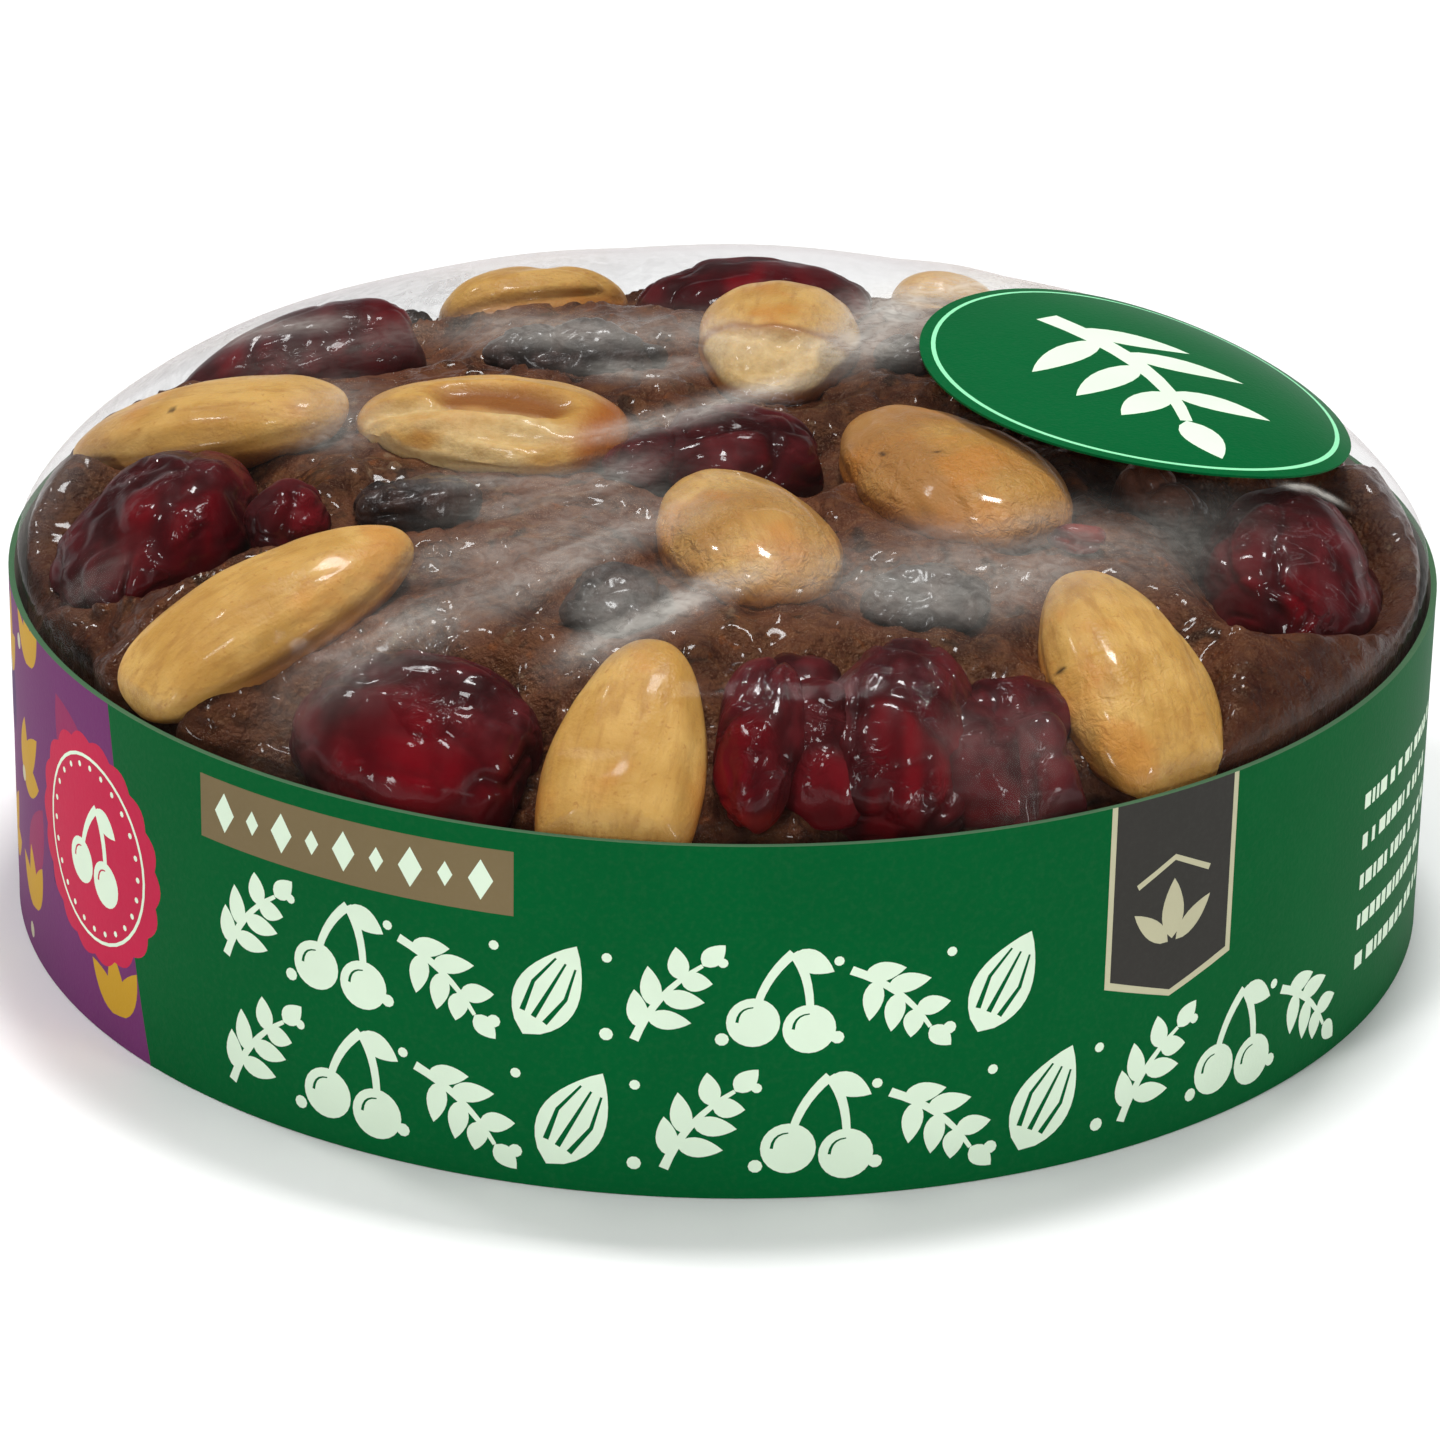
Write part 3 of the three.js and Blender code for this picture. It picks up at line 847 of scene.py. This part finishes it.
def moats(points):
    """How far the cake sinks round each topping, so that its lower outline stands clear."""
    sunk = np.zeros(len(points))
    radius = away_from(points)
    under = cake_under(radius / BAND_RADIUS)
    room = NARROWEST_MOAT + (1 - NARROWEST_MOAT) * step(BAND_RADIUS - radius, *RIM_ROOM)
    for item in ALMONDS + CHERRIES + RAISINS:
        middle, axes = topping_frame(item)
        local = (points - middle) @ axes.T
        half = half_sizes(item)
        size = np.hypot(local[:, 0] / half[0], local[:, 1] / half[1])
        apart = np.maximum(size - 0.96, 0) * min(half[0], half[1])
        level = TOPPING_UNDER_FILM + item["deeper"] + MOAT_SHARE * item["thick"]
        drop = np.maximum(level - under, 0)
        spread = (MOAT_SPREAD + MOAT_WIDENING * drop) * np.maximum(room, item["rim"])
        lowest = -1.3 - 0.6 * item["rim"]
        upper = step(local[:, 2], lowest * half[2], (lowest + 1) * half[2])
        sunk = np.maximum(sunk, drop * bell(apart, spread) * upper)
    for x, y, reach, depth in DIPS:
        sunk = np.maximum(sunk, depth * bell(away_from(points, x, y), reach))
    return sunk


def cake_relief(points):
    lumps = 0.5 * soft_noise(points, 7, 11) + 0.34 * soft_noise(points, 3.2, 12)
    crumb = 0.2 * soft_noise(points, 1.5, 13) + 0.1 * soft_noise(points, 0.8, 14)
    pits = -0.6 * step(soft_noise(points, 2.2, 15), 0.45, 0.8)
    grains = 0.45 * step(soft_noise(points, 1.9, 16), 0.5, 0.75)
    on_top = step(points[:, 2], RIM - 1.5, RIM + 2)
    slump = SLUMP * step(points[:, 1] - 0.4 * points[:, 0], 30, 52)
    sunk = np.maximum(moats(points), slump)
    swell = SIDE_SWELL * step(away_from(points), 46, 57) * step(-points[:, 1], -35, -15)
    return (lumps + crumb + pits + grains) * (0.25 + 0.75 * on_top) - 0.3 + swell - sunk


def add_cake():
    skirt = [(CAKE_RADIUS - 0.1, SKIRT_TOP), (CAKE_RADIUS - 0.1, CAKE_BOTTOM + FILM_CORNER),
             (CAKE_RADIUS - FILM_CORNER, CAKE_BOTTOM)]
    points, faces = wrapped_body(CAKE_CELLS, cake_profile(), skirt, cake_relief)
    piece = add_piece("dark_cake", press_under_film(points), faces, cake_looks(), "cake", "cake")
    set_numbers(piece, crust=RIM_SHADE * step(away_from(points), RIM_SHADE_FROM, RIM_SHADE_TO))


def add_chips(material):
    """Chips and torn flesh of red fruit half sunk in the cake, joined in one piece."""
    unit, faces = ball(32, 24)
    points, joined, marks = [], [], {}
    for index, (x, y, size, deeper, orange) in enumerate(CHIPS):
        item = topping(
            x, y, 50 * index, 2.6 * size, 1.8 * size, 1.4 * size, deeper=deeper, index=index,
            glow=(-90, 70 * orange - 30), orange=0.7 * orange,
        )
        pressed, _, chip_marks = shaped(cherry_form, unit, item, 700 + index)
        joined += [tuple(len(points) + corner for corner in face) for face in faces]
        points += pressed.tolist()
        for key, values in chip_marks.items():
            marks.setdefault(key, []).extend(values)
    piece = add_piece("red_fruit_chips", points, joined, material, "cherry")
    set_grain(piece, np.array(points))
    set_numbers(piece, **marks)


# ---------- the film ----------

FILM_CELLS = 290
FILM_SAG = 0.45
CREASE_RIDGE = 0.16
PLEATS = 150
PLEAT_DEPTH = 0.07
# Milk in the film everywhere, and at most at its rim toward the back left.
LEAST_HAZE = 0.003
RIM_HAZE = 0.1
# Creases up to this spread are drawn as separate fibres, and wider ones ever more evenly.
FIBROUS_SPREAD = 2.6


def film_profile():
    radii = np.concatenate([np.linspace(0, 50, 60), np.linspace(50.3, FILM_RADIUS, 60)])
    profile = [(radius, float(dome_height(radius))) for radius in radii]
    return profile + [(FILM_RADIUS, RIM), (FILM_RADIUS, SKIRT_TOP)]


def crease_and_glare_marks(points):
    """How milky the film is, in its creases and in painted glare, and how far its tight creases
    stand out.
    """
    plan = points[:, :2]
    haze = np.zeros(len(points))
    ridge = np.zeros(len(points))
    for index, (run, spread, white) in enumerate(CREASES_AND_GLARE):
        apart, along, length = to_run(plan, run)
        ends = step(along, -0.12 * length, 0.22 * length)
        ends *= step(-along, -1.1 * length, -0.75 * length)
        wander = np.stack([apart * 1.6, along * 0.13, np.full(len(apart), 7.0 * index)], -1)
        threads = 0.5 + 0.5 * layered_noise(wander, 1.1, 31 + index)
        patch = 0.75 + 0.25 * soft_noise(points, 5, 61 + index)
        veil = bell(apart, spread) * ends * patch
        fibrous = min(FIBROUS_SPREAD / spread, 1)
        grade = 1 + fibrous * (0.75 * threads - 0.55)
        haze = np.maximum(haze, white * veil * grade)
        ridge = np.maximum(ridge, veil * threads * white)
    return haze, ridge


def under_sticker(points):
    """Less than 1 where the sticker lies on the film."""
    plan = points[:, :2] - (STICKER["x"], STICKER["y"])
    along, across = turned(plan, 0, 0, -STICKER["heading"]).T
    return np.hypot(along / STICKER["half_length"], across / STICKER["half_width"])


def film_relief(points):
    touching = np.zeros(len(points))
    for item in ALMONDS + CHERRIES:
        away = away_from(points, item["x"], item["y"])
        touching = np.maximum(touching, bell(away, 0.42 * item["length"]))
    _, ridge = crease_and_glare_marks(points)
    touching = np.maximum(touching, step(-under_sticker(points), -1.15, -0.95))
    inward = step(BAND_RADIUS - away_from(points), 0.5, 9)
    slack = FILM_SAG * (1 - touching) * inward * (0.6 + 0.4 * soft_noise(points, 12, 71))
    turn = np.arctan2(points[:, 1], points[:, 0])
    bunching = step(soft_noise(points, 16, 72), -0.2, 0.7)
    low = bell(points[:, 2] - RIM, 2.5)
    waves = np.sin(PLEATS * turn + 3 * soft_noise(points, 9, 73)) - 1
    pleats = PLEAT_DEPTH * bunching * low * waves
    return np.minimum(-slack + CREASE_RIDGE * ridge + pleats, 0)


def add_film():
    skirt = [(FILM_RADIUS, FILM_CORNER), (FILM_RADIUS - 0.3 * FILM_CORNER, 0.3 * FILM_CORNER),
             (FILM_RADIUS - FILM_CORNER, 0)]
    points, faces = wrapped_body(FILM_CELLS, film_profile(), skirt, film_relief)
    haze, _ = crease_and_glare_marks(points)
    backward = step(points[:, 1] - 0.5 * points[:, 0], 10, 50)
    haze += RIM_HAZE * backward * step(away_from(points), 44, FILM_RADIUS)
    crinkle = np.zeros(len(points))
    for x, y, radius in CRINKLES:
        crinkle = np.maximum(crinkle, step(-away_from(points, x, y), -radius, -0.5 * radius))
    piece = add_piece("clear_film", points, faces, film_looks(), "film", "film")
    set_numbers(
        piece, haze=haze * (points[:, 2] > RIM - 2) + LEAST_HAZE,
        crinkle=crinkle * (points[:, 2] > RIM),
    )


# ---------- flat shapes for the print ----------
# Places are (along, height): millimetres round the band from its front, and up from its base.

GREEN = rgb(0, 90, 43)
VIOLET = rgb(112, 52, 104)
PLUM = rgb(78, 38, 92)
ROSE = rgb(146, 48, 92)
CRIMSON = rgb(196, 42, 76)
GOLD = rgb(196, 152, 44)
TAUPE = rgb(124, 108, 78)
MINT_CREAM = rgb(226, 244, 220)
CARD = rgb(226, 222, 208)
CUT_EDGE = rgb(72, 104, 76)
SLATE = rgb(60, 58, 55)
PALE_GOLD = rgb(196, 192, 160)
STICKER_GREEN = rgb(0, 92, 46)
PALE_MINT = rgb(150, 236, 182)


def turned(points, x, y, degrees):
    """Flat points turned about the origin and then moved."""
    angle = radians(degrees)
    across = np.array([[cos(angle), sin(angle)], [-sin(angle), cos(angle)]])
    return np.asarray(points, float) @ across + (x, y)


def oval(x, y, wide, tall, sides):
    """An oval round x, y, or with four sides a lozenge."""
    turns = np.linspace(0, 2 * pi, sides, endpoint=False)
    return np.stack([x + wide * np.cos(turns), y + tall * np.sin(turns)], -1)


def disc(x, y, radius, sides):
    return oval(x, y, radius, radius, sides)


def lens(x, y, length, width, degrees, fullness=0.8, sides=9):
    """A leaf or nut from its foot at x, y: pointed at both ends, widest below its middle."""
    t = np.linspace(0, 1, sides)
    bulge = width / 2 * np.sin(pi * t**fullness) ** 0.85
    upper = np.stack([length * t, bulge], -1)
    lower = np.stack([length * t, -bulge], -1)[-2:0:-1]
    return turned(np.concatenate([lower[::-1], upper[::-1]]), x, y, degrees)


def stroke(points, width, end_width=None):
    """A line of the given width along points, as one outline."""
    points = np.asarray(points, float)
    ahead = np.gradient(points, axis=0)
    side = np.stack([-ahead[:, 1], ahead[:, 0]], -1)
    side /= np.linalg.norm(side, axis=1)[:, None]
    last = width if end_width is None else end_width
    widths = np.linspace(width, last, len(points))[:, None] / 2
    return np.concatenate([points - side * widths, (points + side * widths)[::-1]])


def arc(start, bend, end, count=9):
    """Points of a quadratic curve from start to end, drawn toward bend."""
    t = np.linspace(0, 1, count)[:, None]
    start, bend, end = (np.array(p, float) for p in (start, bend, end))
    return (1 - t) ** 2 * start + 2 * t * (1 - t) * bend + t**2 * end


def bar(x0, x1, y0, y1):
    return np.array([(x0, y0), (x1, y0), (x1, y1), (x0, y1)], float)


def with_edge_points(outline, spacing):
    """The same outline with more points along its sides, so that it can be bent."""
    points = []
    for start, end in zip(outline, np.roll(outline, -1, axis=0)):
        count = max(int(np.linalg.norm(end - start) / spacing), 1)
        points += [start + (end - start) * i / count for i in range(count)]
    return np.array(points)


def almond_motif(x, y, size, tilt, ink, ground):
    foot = turned([(-0.5 * size, 0)], x, y, tilt)[0]
    shapes = [(lens(*foot, size, 0.56 * size, tilt, 0.82, 13), ink)]
    for beside in (-0.16 * size, 0, 0.16 * size):
        line = [(-0.3 * size, 0.7 * beside), (0, beside), (0.3 * size, 0.6 * beside)]
        shapes.append((stroke(turned(line, x, y, tilt), 0.05 * size, 0.02 * size), ground))
    return shapes


def cherry_motif(x, y, size, ink, ground):
    fruit = 0.23 * size
    left, right = (x - 0.23 * size, y - 0.2 * size), (x + 0.25 * size, y - 0.27 * size)
    join = (x + 0.1 * size, y + 0.45 * size)
    shapes = []
    for foot, bend in ((left, -0.18), (right, 0.28)):
        stalk = arc(foot, (x + bend * size, y + 0.2 * size), join)
        shapes.append((stroke(stalk, 0.06 * size, 0.09 * size), ink))
    shapes.append((lens(*join, 0.4 * size, 0.22 * size, -28), ink))
    for across, up in (left, right):
        shapes.append((disc(across, up, fruit, 24), ink))
        bend = (across - 0.55 * fruit, up + 0.6 * fruit)
        shine = arc((across - 0.6 * fruit, up), bend, (across, up + 0.62 * fruit), 6)
        shapes.append((stroke(shine, 0.12 * fruit, 0.05 * fruit), ground))
    return shapes


def sprig_motif(x, y, size, tilt, ink, leaf=0.2):
    stem = turned(arc((-0.5 * size, -0.1 * size), (0, 0.12 * size), (0.5 * size, 0)), x, y, tilt)
    shapes = [(stroke(stem, 0.09 * size, 0.04 * size), ink)]
    for along, side, length in (
        (0.12, 1, 0.4), (0.22, -1, 0.42), (0.42, 1, 0.42), (0.52, -1, 0.4), (0.72, 1, 0.34),
        (0.8, -1, 0.3), (0.98, 0, 0.3),
    ):
        foot = stem[int(round(along * (len(stem) - 1)))]
        shapes.append((lens(*foot, length * size, leaf * size, tilt + side * 52), ink))
    return shapes


def garland(start, end, middle, size, cells, ink, ground):
    """A row of fruit, nuts and sprigs, standing where a pack has its title."""
    shapes = []
    wide = (end - start) / cells
    for i in range(cells):
        x = start + (i + 0.5) * wide
        kind = i % 4
        if kind == 1:
            shapes += cherry_motif(x, middle, size, ink, ground)
        elif kind == 3:
            shapes += almond_motif(x, middle, size, 62, ink, ground)
        else:
            shapes += sprig_motif(x, middle, 0.92 * size, 46 if kind == 0 else -46, ink)
        if i:
            for rise, radius in ((-0.36, 0.06), (0.36, 0.045)):
                dot = disc(start + i * wide, middle + rise * size, radius * size, 10)
                shapes.append((dot, ink))
    return shapes


def printed_sheet(outline, shapes, spacing, ground):
    """Splits a flat sheet into triangles along the edges of its shapes, later ones on top.

    Gives the flat points, the triangles, and one colour for each triangle.
    """
    points = []
    faces = []
    for polygon in [outline] + [shape for shape, _ in shapes]:
        polygon = with_edge_points(np.asarray(polygon, float), spacing / 2)
        ahead = np.roll(polygon, -1, axis=0)
        turning = (polygon[:, 0] * ahead[:, 1] - ahead[:, 0] * polygon[:, 1]).sum()
        if turning < 0:
            polygon = polygon[::-1]
        faces.append(list(range(len(points), len(points) + len(polygon))))
        points += [Vector(point) for point in polygon]
    low, high = np.min(outline, axis=0), np.max(outline, axis=0)
    for x in np.arange(low[0] + spacing / 2, high[0], spacing):
        for y in np.arange(low[1] + spacing / 2, high[1], spacing):
            if inside(outline, x, y, spacing * 0.3):
                points.append(Vector((x, y)))
    flat, _, triangles, _, _, within = delaunay_2d_cdt(points, [], faces, 0, 1e-4, True)
    colours = [ground] + [ink for _, ink in shapes]
    inks = [colours[max(shapes_here)] if 0 in shapes_here else None for shapes_here in within]
    return np.array([tuple(point) for point in flat]), triangles, inks


def inside(outline, x, y, margin):
    """True if a point lies inside a convex outline by at least the margin."""
    outline = np.asarray(outline, float)
    edge = np.roll(outline, -1, axis=0) - outline
    length = np.maximum(np.linalg.norm(edge, axis=1), 1e-9)
    apart = (edge[:, 0] * (y - outline[:, 1]) - edge[:, 1] * (x - outline[:, 0])) / length
    return apart.min() > margin


def add_printed_piece(name, sheet, front, back, edge_ink, back_ink, material, slot, node):
    """A thin closed sheet whose front carries the print. front and back place flat points."""
    flat, triangles, colours = sheet
    kept = [i for i, ink in enumerate(colours) if ink is not None]
    triangles = [tuple(triangles[i]) for i in kept]
    inks = [colours[i] for i in kept]
    count = len(flat)
    front_points, front_normals = front(flat)
    back_points, back_normals = back(flat)
    points = np.concatenate([front_points, back_points])
    faces = list(triangles)
    normals = [tuple(front_normals[i]) for face in triangles for i in face]
    for face in triangles:
        mirrored = tuple(count + i for i in face[::-1])
        faces.append(mirrored)
        inks.append(back_ink)
        normals += [tuple(back_normals[i - count]) for i in mirrored]
    sides = [side for face in triangles for side in zip(face, face[1:] + face[:1])]
    shared = set(sides)
    for a, b in sides:
        if (b, a) not in shared:
            faces.append((b, a, count + a, count + b))
            inks.append(edge_ink)
            run = points[b] - points[a]
            across = points[count + a] - points[a]
            wall = np.cross(-run, across)
            normals += [tuple(wall / max(np.linalg.norm(wall), 1e-12))] * 4
    piece = add_piece(name, points, faces, material, slot, node)
    piece.data.normals_split_custom_set(normals)
    attribute = piece.data.color_attributes.new("print", "FLOAT_COLOR", "CORNER")
    corner_inks = [channel for face, ink in zip(faces, inks) for _ in face for channel in ink]
    attribute.data.foreach_set("color", corner_inks)


# ---------- the band ----------

BAND_CARD = 0.5
HALF_WAY = pi * BAND_RADIUS
# The card's ends overlap at the back. Before that each thins over the ease's length, the
# inner one to this share of the card, so that both together are as thick as the card.
OVERLAP = 9
OVERLAP_EASE = 14
LAP_SHARE = 0.48
PENNANT = {"left": 31.6, "right": 44.3, "shoulder": 14.5, "point": 12.4, "edge": 0.5}
SEAL = {"x": -59.6, "y": 16, "radius": 9.9, "lobes": 18, "depth": 0.55, "ring": 8.1,
        "ring_width": 0.3, "dots": 24, "dot_ring": 7.1}


def purple_field():
    edge = arc((-51.3, 0), (-53.6, 9), (-55.2, 22)).tolist() + [(-56.3, RIM)]
    return np.array([(-HALF_WAY, 0)] + edge + [(-HALF_WAY, RIM)])


def seal_shapes():
    """The round badge: a scalloped disc with a thin ring, a ring of dots and two berries."""
    x, y, lobes = SEAL["x"], SEAL["y"], SEAL["lobes"]
    sides = 6 * lobes
    turns = np.linspace(0, 2 * pi, sides, endpoint=False)
    reach = SEAL["radius"] + SEAL["depth"] * (np.abs(np.cos(lobes * turns / 2)) - 0.5)
    shapes = [(oval(x, y, reach, 0.97 * reach, sides), CRIMSON)]
    shapes.append((disc(x, y, SEAL["ring"], 40), MINT_CREAM))
    shapes.append((disc(x, y, SEAL["ring"] - SEAL["ring_width"], 40), CRIMSON))
    for across, up in disc(x, y, SEAL["dot_ring"], SEAL["dots"]):
        shapes.append((disc(across, up, 0.26, 8), MINT_CREAM))
    return shapes + cherry_motif(x, y, 8.6, MINT_CREAM, CRIMSON)


def three_leaves(x, y, tilt, spread, lengths, width):
    """Gold leaves that fan out from one foot."""
    return [(lens(x, y, length, width, tilt + side * spread), GOLD)
            for side, length in zip((-1, 0, 1), lengths)]


def purple_shapes():
    """Loose gold leaves and dots on plum and rose fields, which run on round the hidden side."""
    shapes = []
    draw = np.random.default_rng(8)
    for x in np.arange(-60.5, -HALF_WAY + 6, -7.3):
        ink = (PLUM, ROSE)[int(draw.integers(2))]
        y = draw.uniform(3, 20)
        petal = lens(x, y, draw.uniform(8, 12), draw.uniform(4, 6.5), draw.uniform(40, 140))
        shapes.append((petal, ink))
    x = -77.0
    row = 0
    while x > -HALF_WAY + 8:
        for height in ((6.5, 23) if row % 2 else (14.5, 27.5, 1.5)):
            tilt = draw.uniform(20, 160)
            across, up = x + draw.uniform(-1.5, 1.5), height + draw.uniform(-1, 1)
            if 5 < up < 25:
                shapes += three_leaves(across, up, tilt, 36, (5.6, 7.4, 5.6), 2.9)
            shapes.append((disc(across, np.clip(up, 1, 29), 0.7, 12), PALE_GOLD))
        x -= 8.2
        row += 1
    for across, up in ((-73.5, 26.5), (-55.8, 2.6), (-74, 4.4)):
        shapes += three_leaves(across, up, 100, 40, (5.6, 5.6, 5.6), 2.5)
    return shapes


def pennant_shapes():
    """The dark pennant with a pale edge, a small roof and a bud."""
    left, right, edge = PENNANT["left"], PENNANT["right"], PENNANT["edge"]
    low, point = PENNANT["shoulder"], PENNANT["point"]
    middle = (left + right) / 2
    outer = [(left, RIM), (left, low), (middle, point), (right, low), (right, RIM)]
    inner = [(left + edge, RIM), (left + edge, low + edge), (middle, point + 1.1 * edge),
             (right - edge, low + edge), (right - edge, RIM)]
    roof = stroke([(middle - 3.6, 22.6), (middle, 24.4), (middle + 3.6, 22.6)], 0.5)
    shapes = [(outer, PALE_GOLD), (inner, SLATE), (roof, PALE_GOLD)]
    for side, foot, length, width, tilt in (
        (0, 17.4, 5.2, 2.2, 90), (-0.4, 17.2, 4.6, 1.6, 138), (0.4, 17.2, 4.6, 1.6, 42),
    ):
        shapes.append((lens(middle + side, foot, length, width, tilt), PALE_GOLD))
    return shapes


def plate_shapes():
    """The taupe plate with a plain row of lozenges."""
    shapes = [(bar(-44.2, -15.6, 22.9, 28.3), TAUPE)]
    for i in range(9):
        size = 1.05 if i % 2 else 1.7
        shapes.append((oval(-41.6 + i * 2.92, 25.6, 0.6 * size, size, 4), MINT_CREAM))
    return shapes


def dashes(start, end, height, tall, seed):
    """A line of plain dashes, as long as a line of small print."""
    draw = np.random.default_rng(seed)
    shapes = []
    while start < end - 1.4:
        long = min(draw.uniform(0.5, 1.5), end - start)
        shapes.append((bar(start, start + long, height, height + tall), MINT_CREAM))
        start += long + draw.choice((0.35, 0.35, 0.9))
    return shapes


def band_shapes():
    shapes = [(purple_field(), VIOLET)] + purple_shapes() + seal_shapes() + plate_shapes()
    shapes += garland(-43.8, 27.2, 17.0, 9, 8, MINT_CREAM, GREEN)
    shapes += garland(-43.5, 59.5, 6.2, 9.4, 11, MINT_CREAM, GREEN)
    shapes += pennant_shapes()
    for line, height in enumerate((20.2, 16.6, 13.0, 9.4, 5.8)):
        shapes += dashes(63, 85 - 2.5 * (line % 2), height, 1.3, line)
    for line in range(8):
        shapes += dashes(104, 138 - 6 * (line % 3 == 2), 24.4 - 2.7 * line, 0.8, 20 + line)
    return shapes + garland(146, 180, 15, 9, 3, MINT_CREAM, GREEN)


def on_band(flat, radius):
    turn = flat[:, 0] / BAND_RADIUS
    out = np.stack([np.sin(turn), -np.cos(turn), np.zeros(len(flat))], -1)
    points = out * np.broadcast_to(radius, len(flat))[:, None]
    points[:, 2] = flat[:, 1]
    return points, out


def band_front(flat):
    under = step(flat[:, 0], HALF_WAY - OVERLAP_EASE, HALF_WAY)
    return on_band(flat, BAND_RADIUS - BAND_CARD * (1 - LAP_SHARE) * under)


def band_back(flat):
    over = step(-flat[:, 0], HALF_WAY - OVERLAP - OVERLAP_EASE, HALF_WAY - OVERLAP)
    points, out = on_band(flat, BAND_RADIUS - BAND_CARD * (1 - LAP_SHARE * over))
    return points, -out


def add_band():
    outline = with_edge_points(bar(-HALF_WAY, HALF_WAY + OVERLAP, 0, RIM), 1.6)
    sheet = printed_sheet(outline, band_shapes(), 3.4, GREEN)
    material = printed_looks("printed card", 0.5, 0.0)
    add_printed_piece(
        "card_band", sheet, band_front, band_back, CUT_EDGE, CARD, material, "card", "band")


# ---------- the sticker ----------


def sticker_place(flat, lift):
    """Where the sticker's flat points lie on the dome, and which way they face."""
    x, y = turned(flat, STICKER["x"], STICKER["y"], STICKER["heading"]).T
    normal = dome_normal(x, y)
    points = np.stack([x, y, dome_height(np.hypot(x, y))], -1) + normal * lift
    return points, normal


def sticker_outline(inset):
    return oval(0, 0, STICKER["half_length"] - inset, STICKER["half_width"] - inset, 96)


def add_sticker():
    """The oval sticker: green with a pale ring and a sprig."""
    inset, wide = STICKER["ring_inset"], STICKER["ring_width"]
    shapes = [(sticker_outline(inset), PALE_MINT), (sticker_outline(inset + wide), STICKER_GREEN)]
    shapes += sprig_motif(-1, 0, 26, 0, MINT_CREAM, 0.13)
    sheet = printed_sheet(sticker_outline(0), shapes, 2.0, STICKER_GREEN)

    def front(flat):
        return sticker_place(flat, STICKER["lift"] + STICKER["thickness"])

    def back(flat):
        points, normal = sticker_place(flat, STICKER["lift"])
        return points, -normal

    material = printed_looks("printed label", 0.4, 0.03)
    add_printed_piece(
        "oval_sticker", sheet, front, back, STICKER_GREEN, CARD, material, "label", "sticker")


# ---------- camera, light and floor ----------

# The distance of the camera from the middle of the cake's base, how high it stands in
# degrees, and how its aim and its upright are turned from there.
CAMERA_DISTANCE = 0.51039
CAMERA_RISE = 25.319
CAMERA_TILT = -1.420
CAMERA_ROLL = 1.0355
CAMERA_LENS = 147.376
# The lights: place, width and height, and watts. All shine on the cake's middle.
LIGHTS = {
    "key": ((0.06, 0.24, 0.95), (0.2, 0.14), 5.5),
    "fill": ((-0.25, -0.35, 0.95), (0.1, 0.1), 1.4),
    "spark": ((-0.45, 0.3, 0.75), (0.08, 0.08), 1.3),
    "front_left": ((-0.8, -0.9, 0.35), (0.14, 0.24), 3.0),
    "front_right": ((0.75, -0.65, 0.22), (0.1, 0.24), 2.4),
}
LIT = (0, 0, 0.02)
FLOOR_SIZE = 2.5
FLOOR_BELOW = 0.00005


def add_camera():
    """Looks from the front and a little down, with the cake slightly below the aim."""
    rise, down = radians(CAMERA_RISE), radians(CAMERA_RISE + CAMERA_TILT)
    forward = Vector((0, cos(down), -sin(down)))
    right = forward.cross(Vector((0, 0, 1))).normalized()
    up = right.cross(forward)
    roll = radians(CAMERA_ROLL)
    side = right * cos(roll) + up * sin(roll)
    top = up * cos(roll) - right * sin(roll)
    data = bpy.data.cameras.new("camera")
    data.lens = CAMERA_LENS
    data.sensor_width = 36
    camera = add_object("camera", data)
    camera.matrix_world = Matrix((
        (side.x, top.x, -forward.x, 0),
        (side.y, top.y, -forward.y, -CAMERA_DISTANCE * cos(rise)),
        (side.z, top.z, -forward.z, CAMERA_DISTANCE * sin(rise)),
        (0, 0, 0, 1),
    ))
    bpy.context.scene.camera = camera


def add_studio():
    """Small lights for crisp glints, a soft sun that doesn't gleam, and a room bright low down."""
    for name, (place, size, power) in LIGHTS.items():
        data = bpy.data.lights.new(name, "AREA")
        data.shape = "RECTANGLE"
        data.size, data.size_y = size
        data.energy = power
        light = add_object(name, data)
        light.location = place
        light.rotation_mode = "QUATERNION"
        toward = Vector(LIT) - Vector(place)
        light.rotation_quaternion = toward.to_track_quat("-Z", "Y")
    data = bpy.data.lights.new("above", "SUN")
    data.energy = 1.0
    data.angle = radians(60)
    add_object("above", data).visible_glossy = False
    looks = Looks(bpy.data.worlds.new("studio"))
    rise = looks.node("SeparateXYZ", 2, Vector=looks.node("TexCoord", 0))
    strength = looks.span(rise, 0.03, 0.24, 0.9, 0.07)
    room = looks.node("Background", Color=(0.95, 0.97, 1, 1), Strength=strength)
    bpy.context.scene.world = looks.finish(room, "World")
    bpy.context.scene.view_settings.view_transform = "Standard"


def add_floor():
    size, low = FLOOR_SIZE, -FLOOR_BELOW
    mesh = bpy.data.meshes.new("floor")
    corners = [(-size, -size, low), (size, -size, low), (size, size, low), (-size, size, low)]
    mesh.from_pydata(corners, [], [(0, 1, 2, 3)])
    looks = material_looks("floor")
    mesh.materials.append(looks.solid(Base_Color=rgb(250, 250, 250), Roughness=0.6))
    floor = add_object("floor", mesh)


add_camera()
materials = add_toppings()
add_cake()
add_chips(materials["cherry"])
add_film()
add_band()
add_sticker()
add_studio()
add_floor()
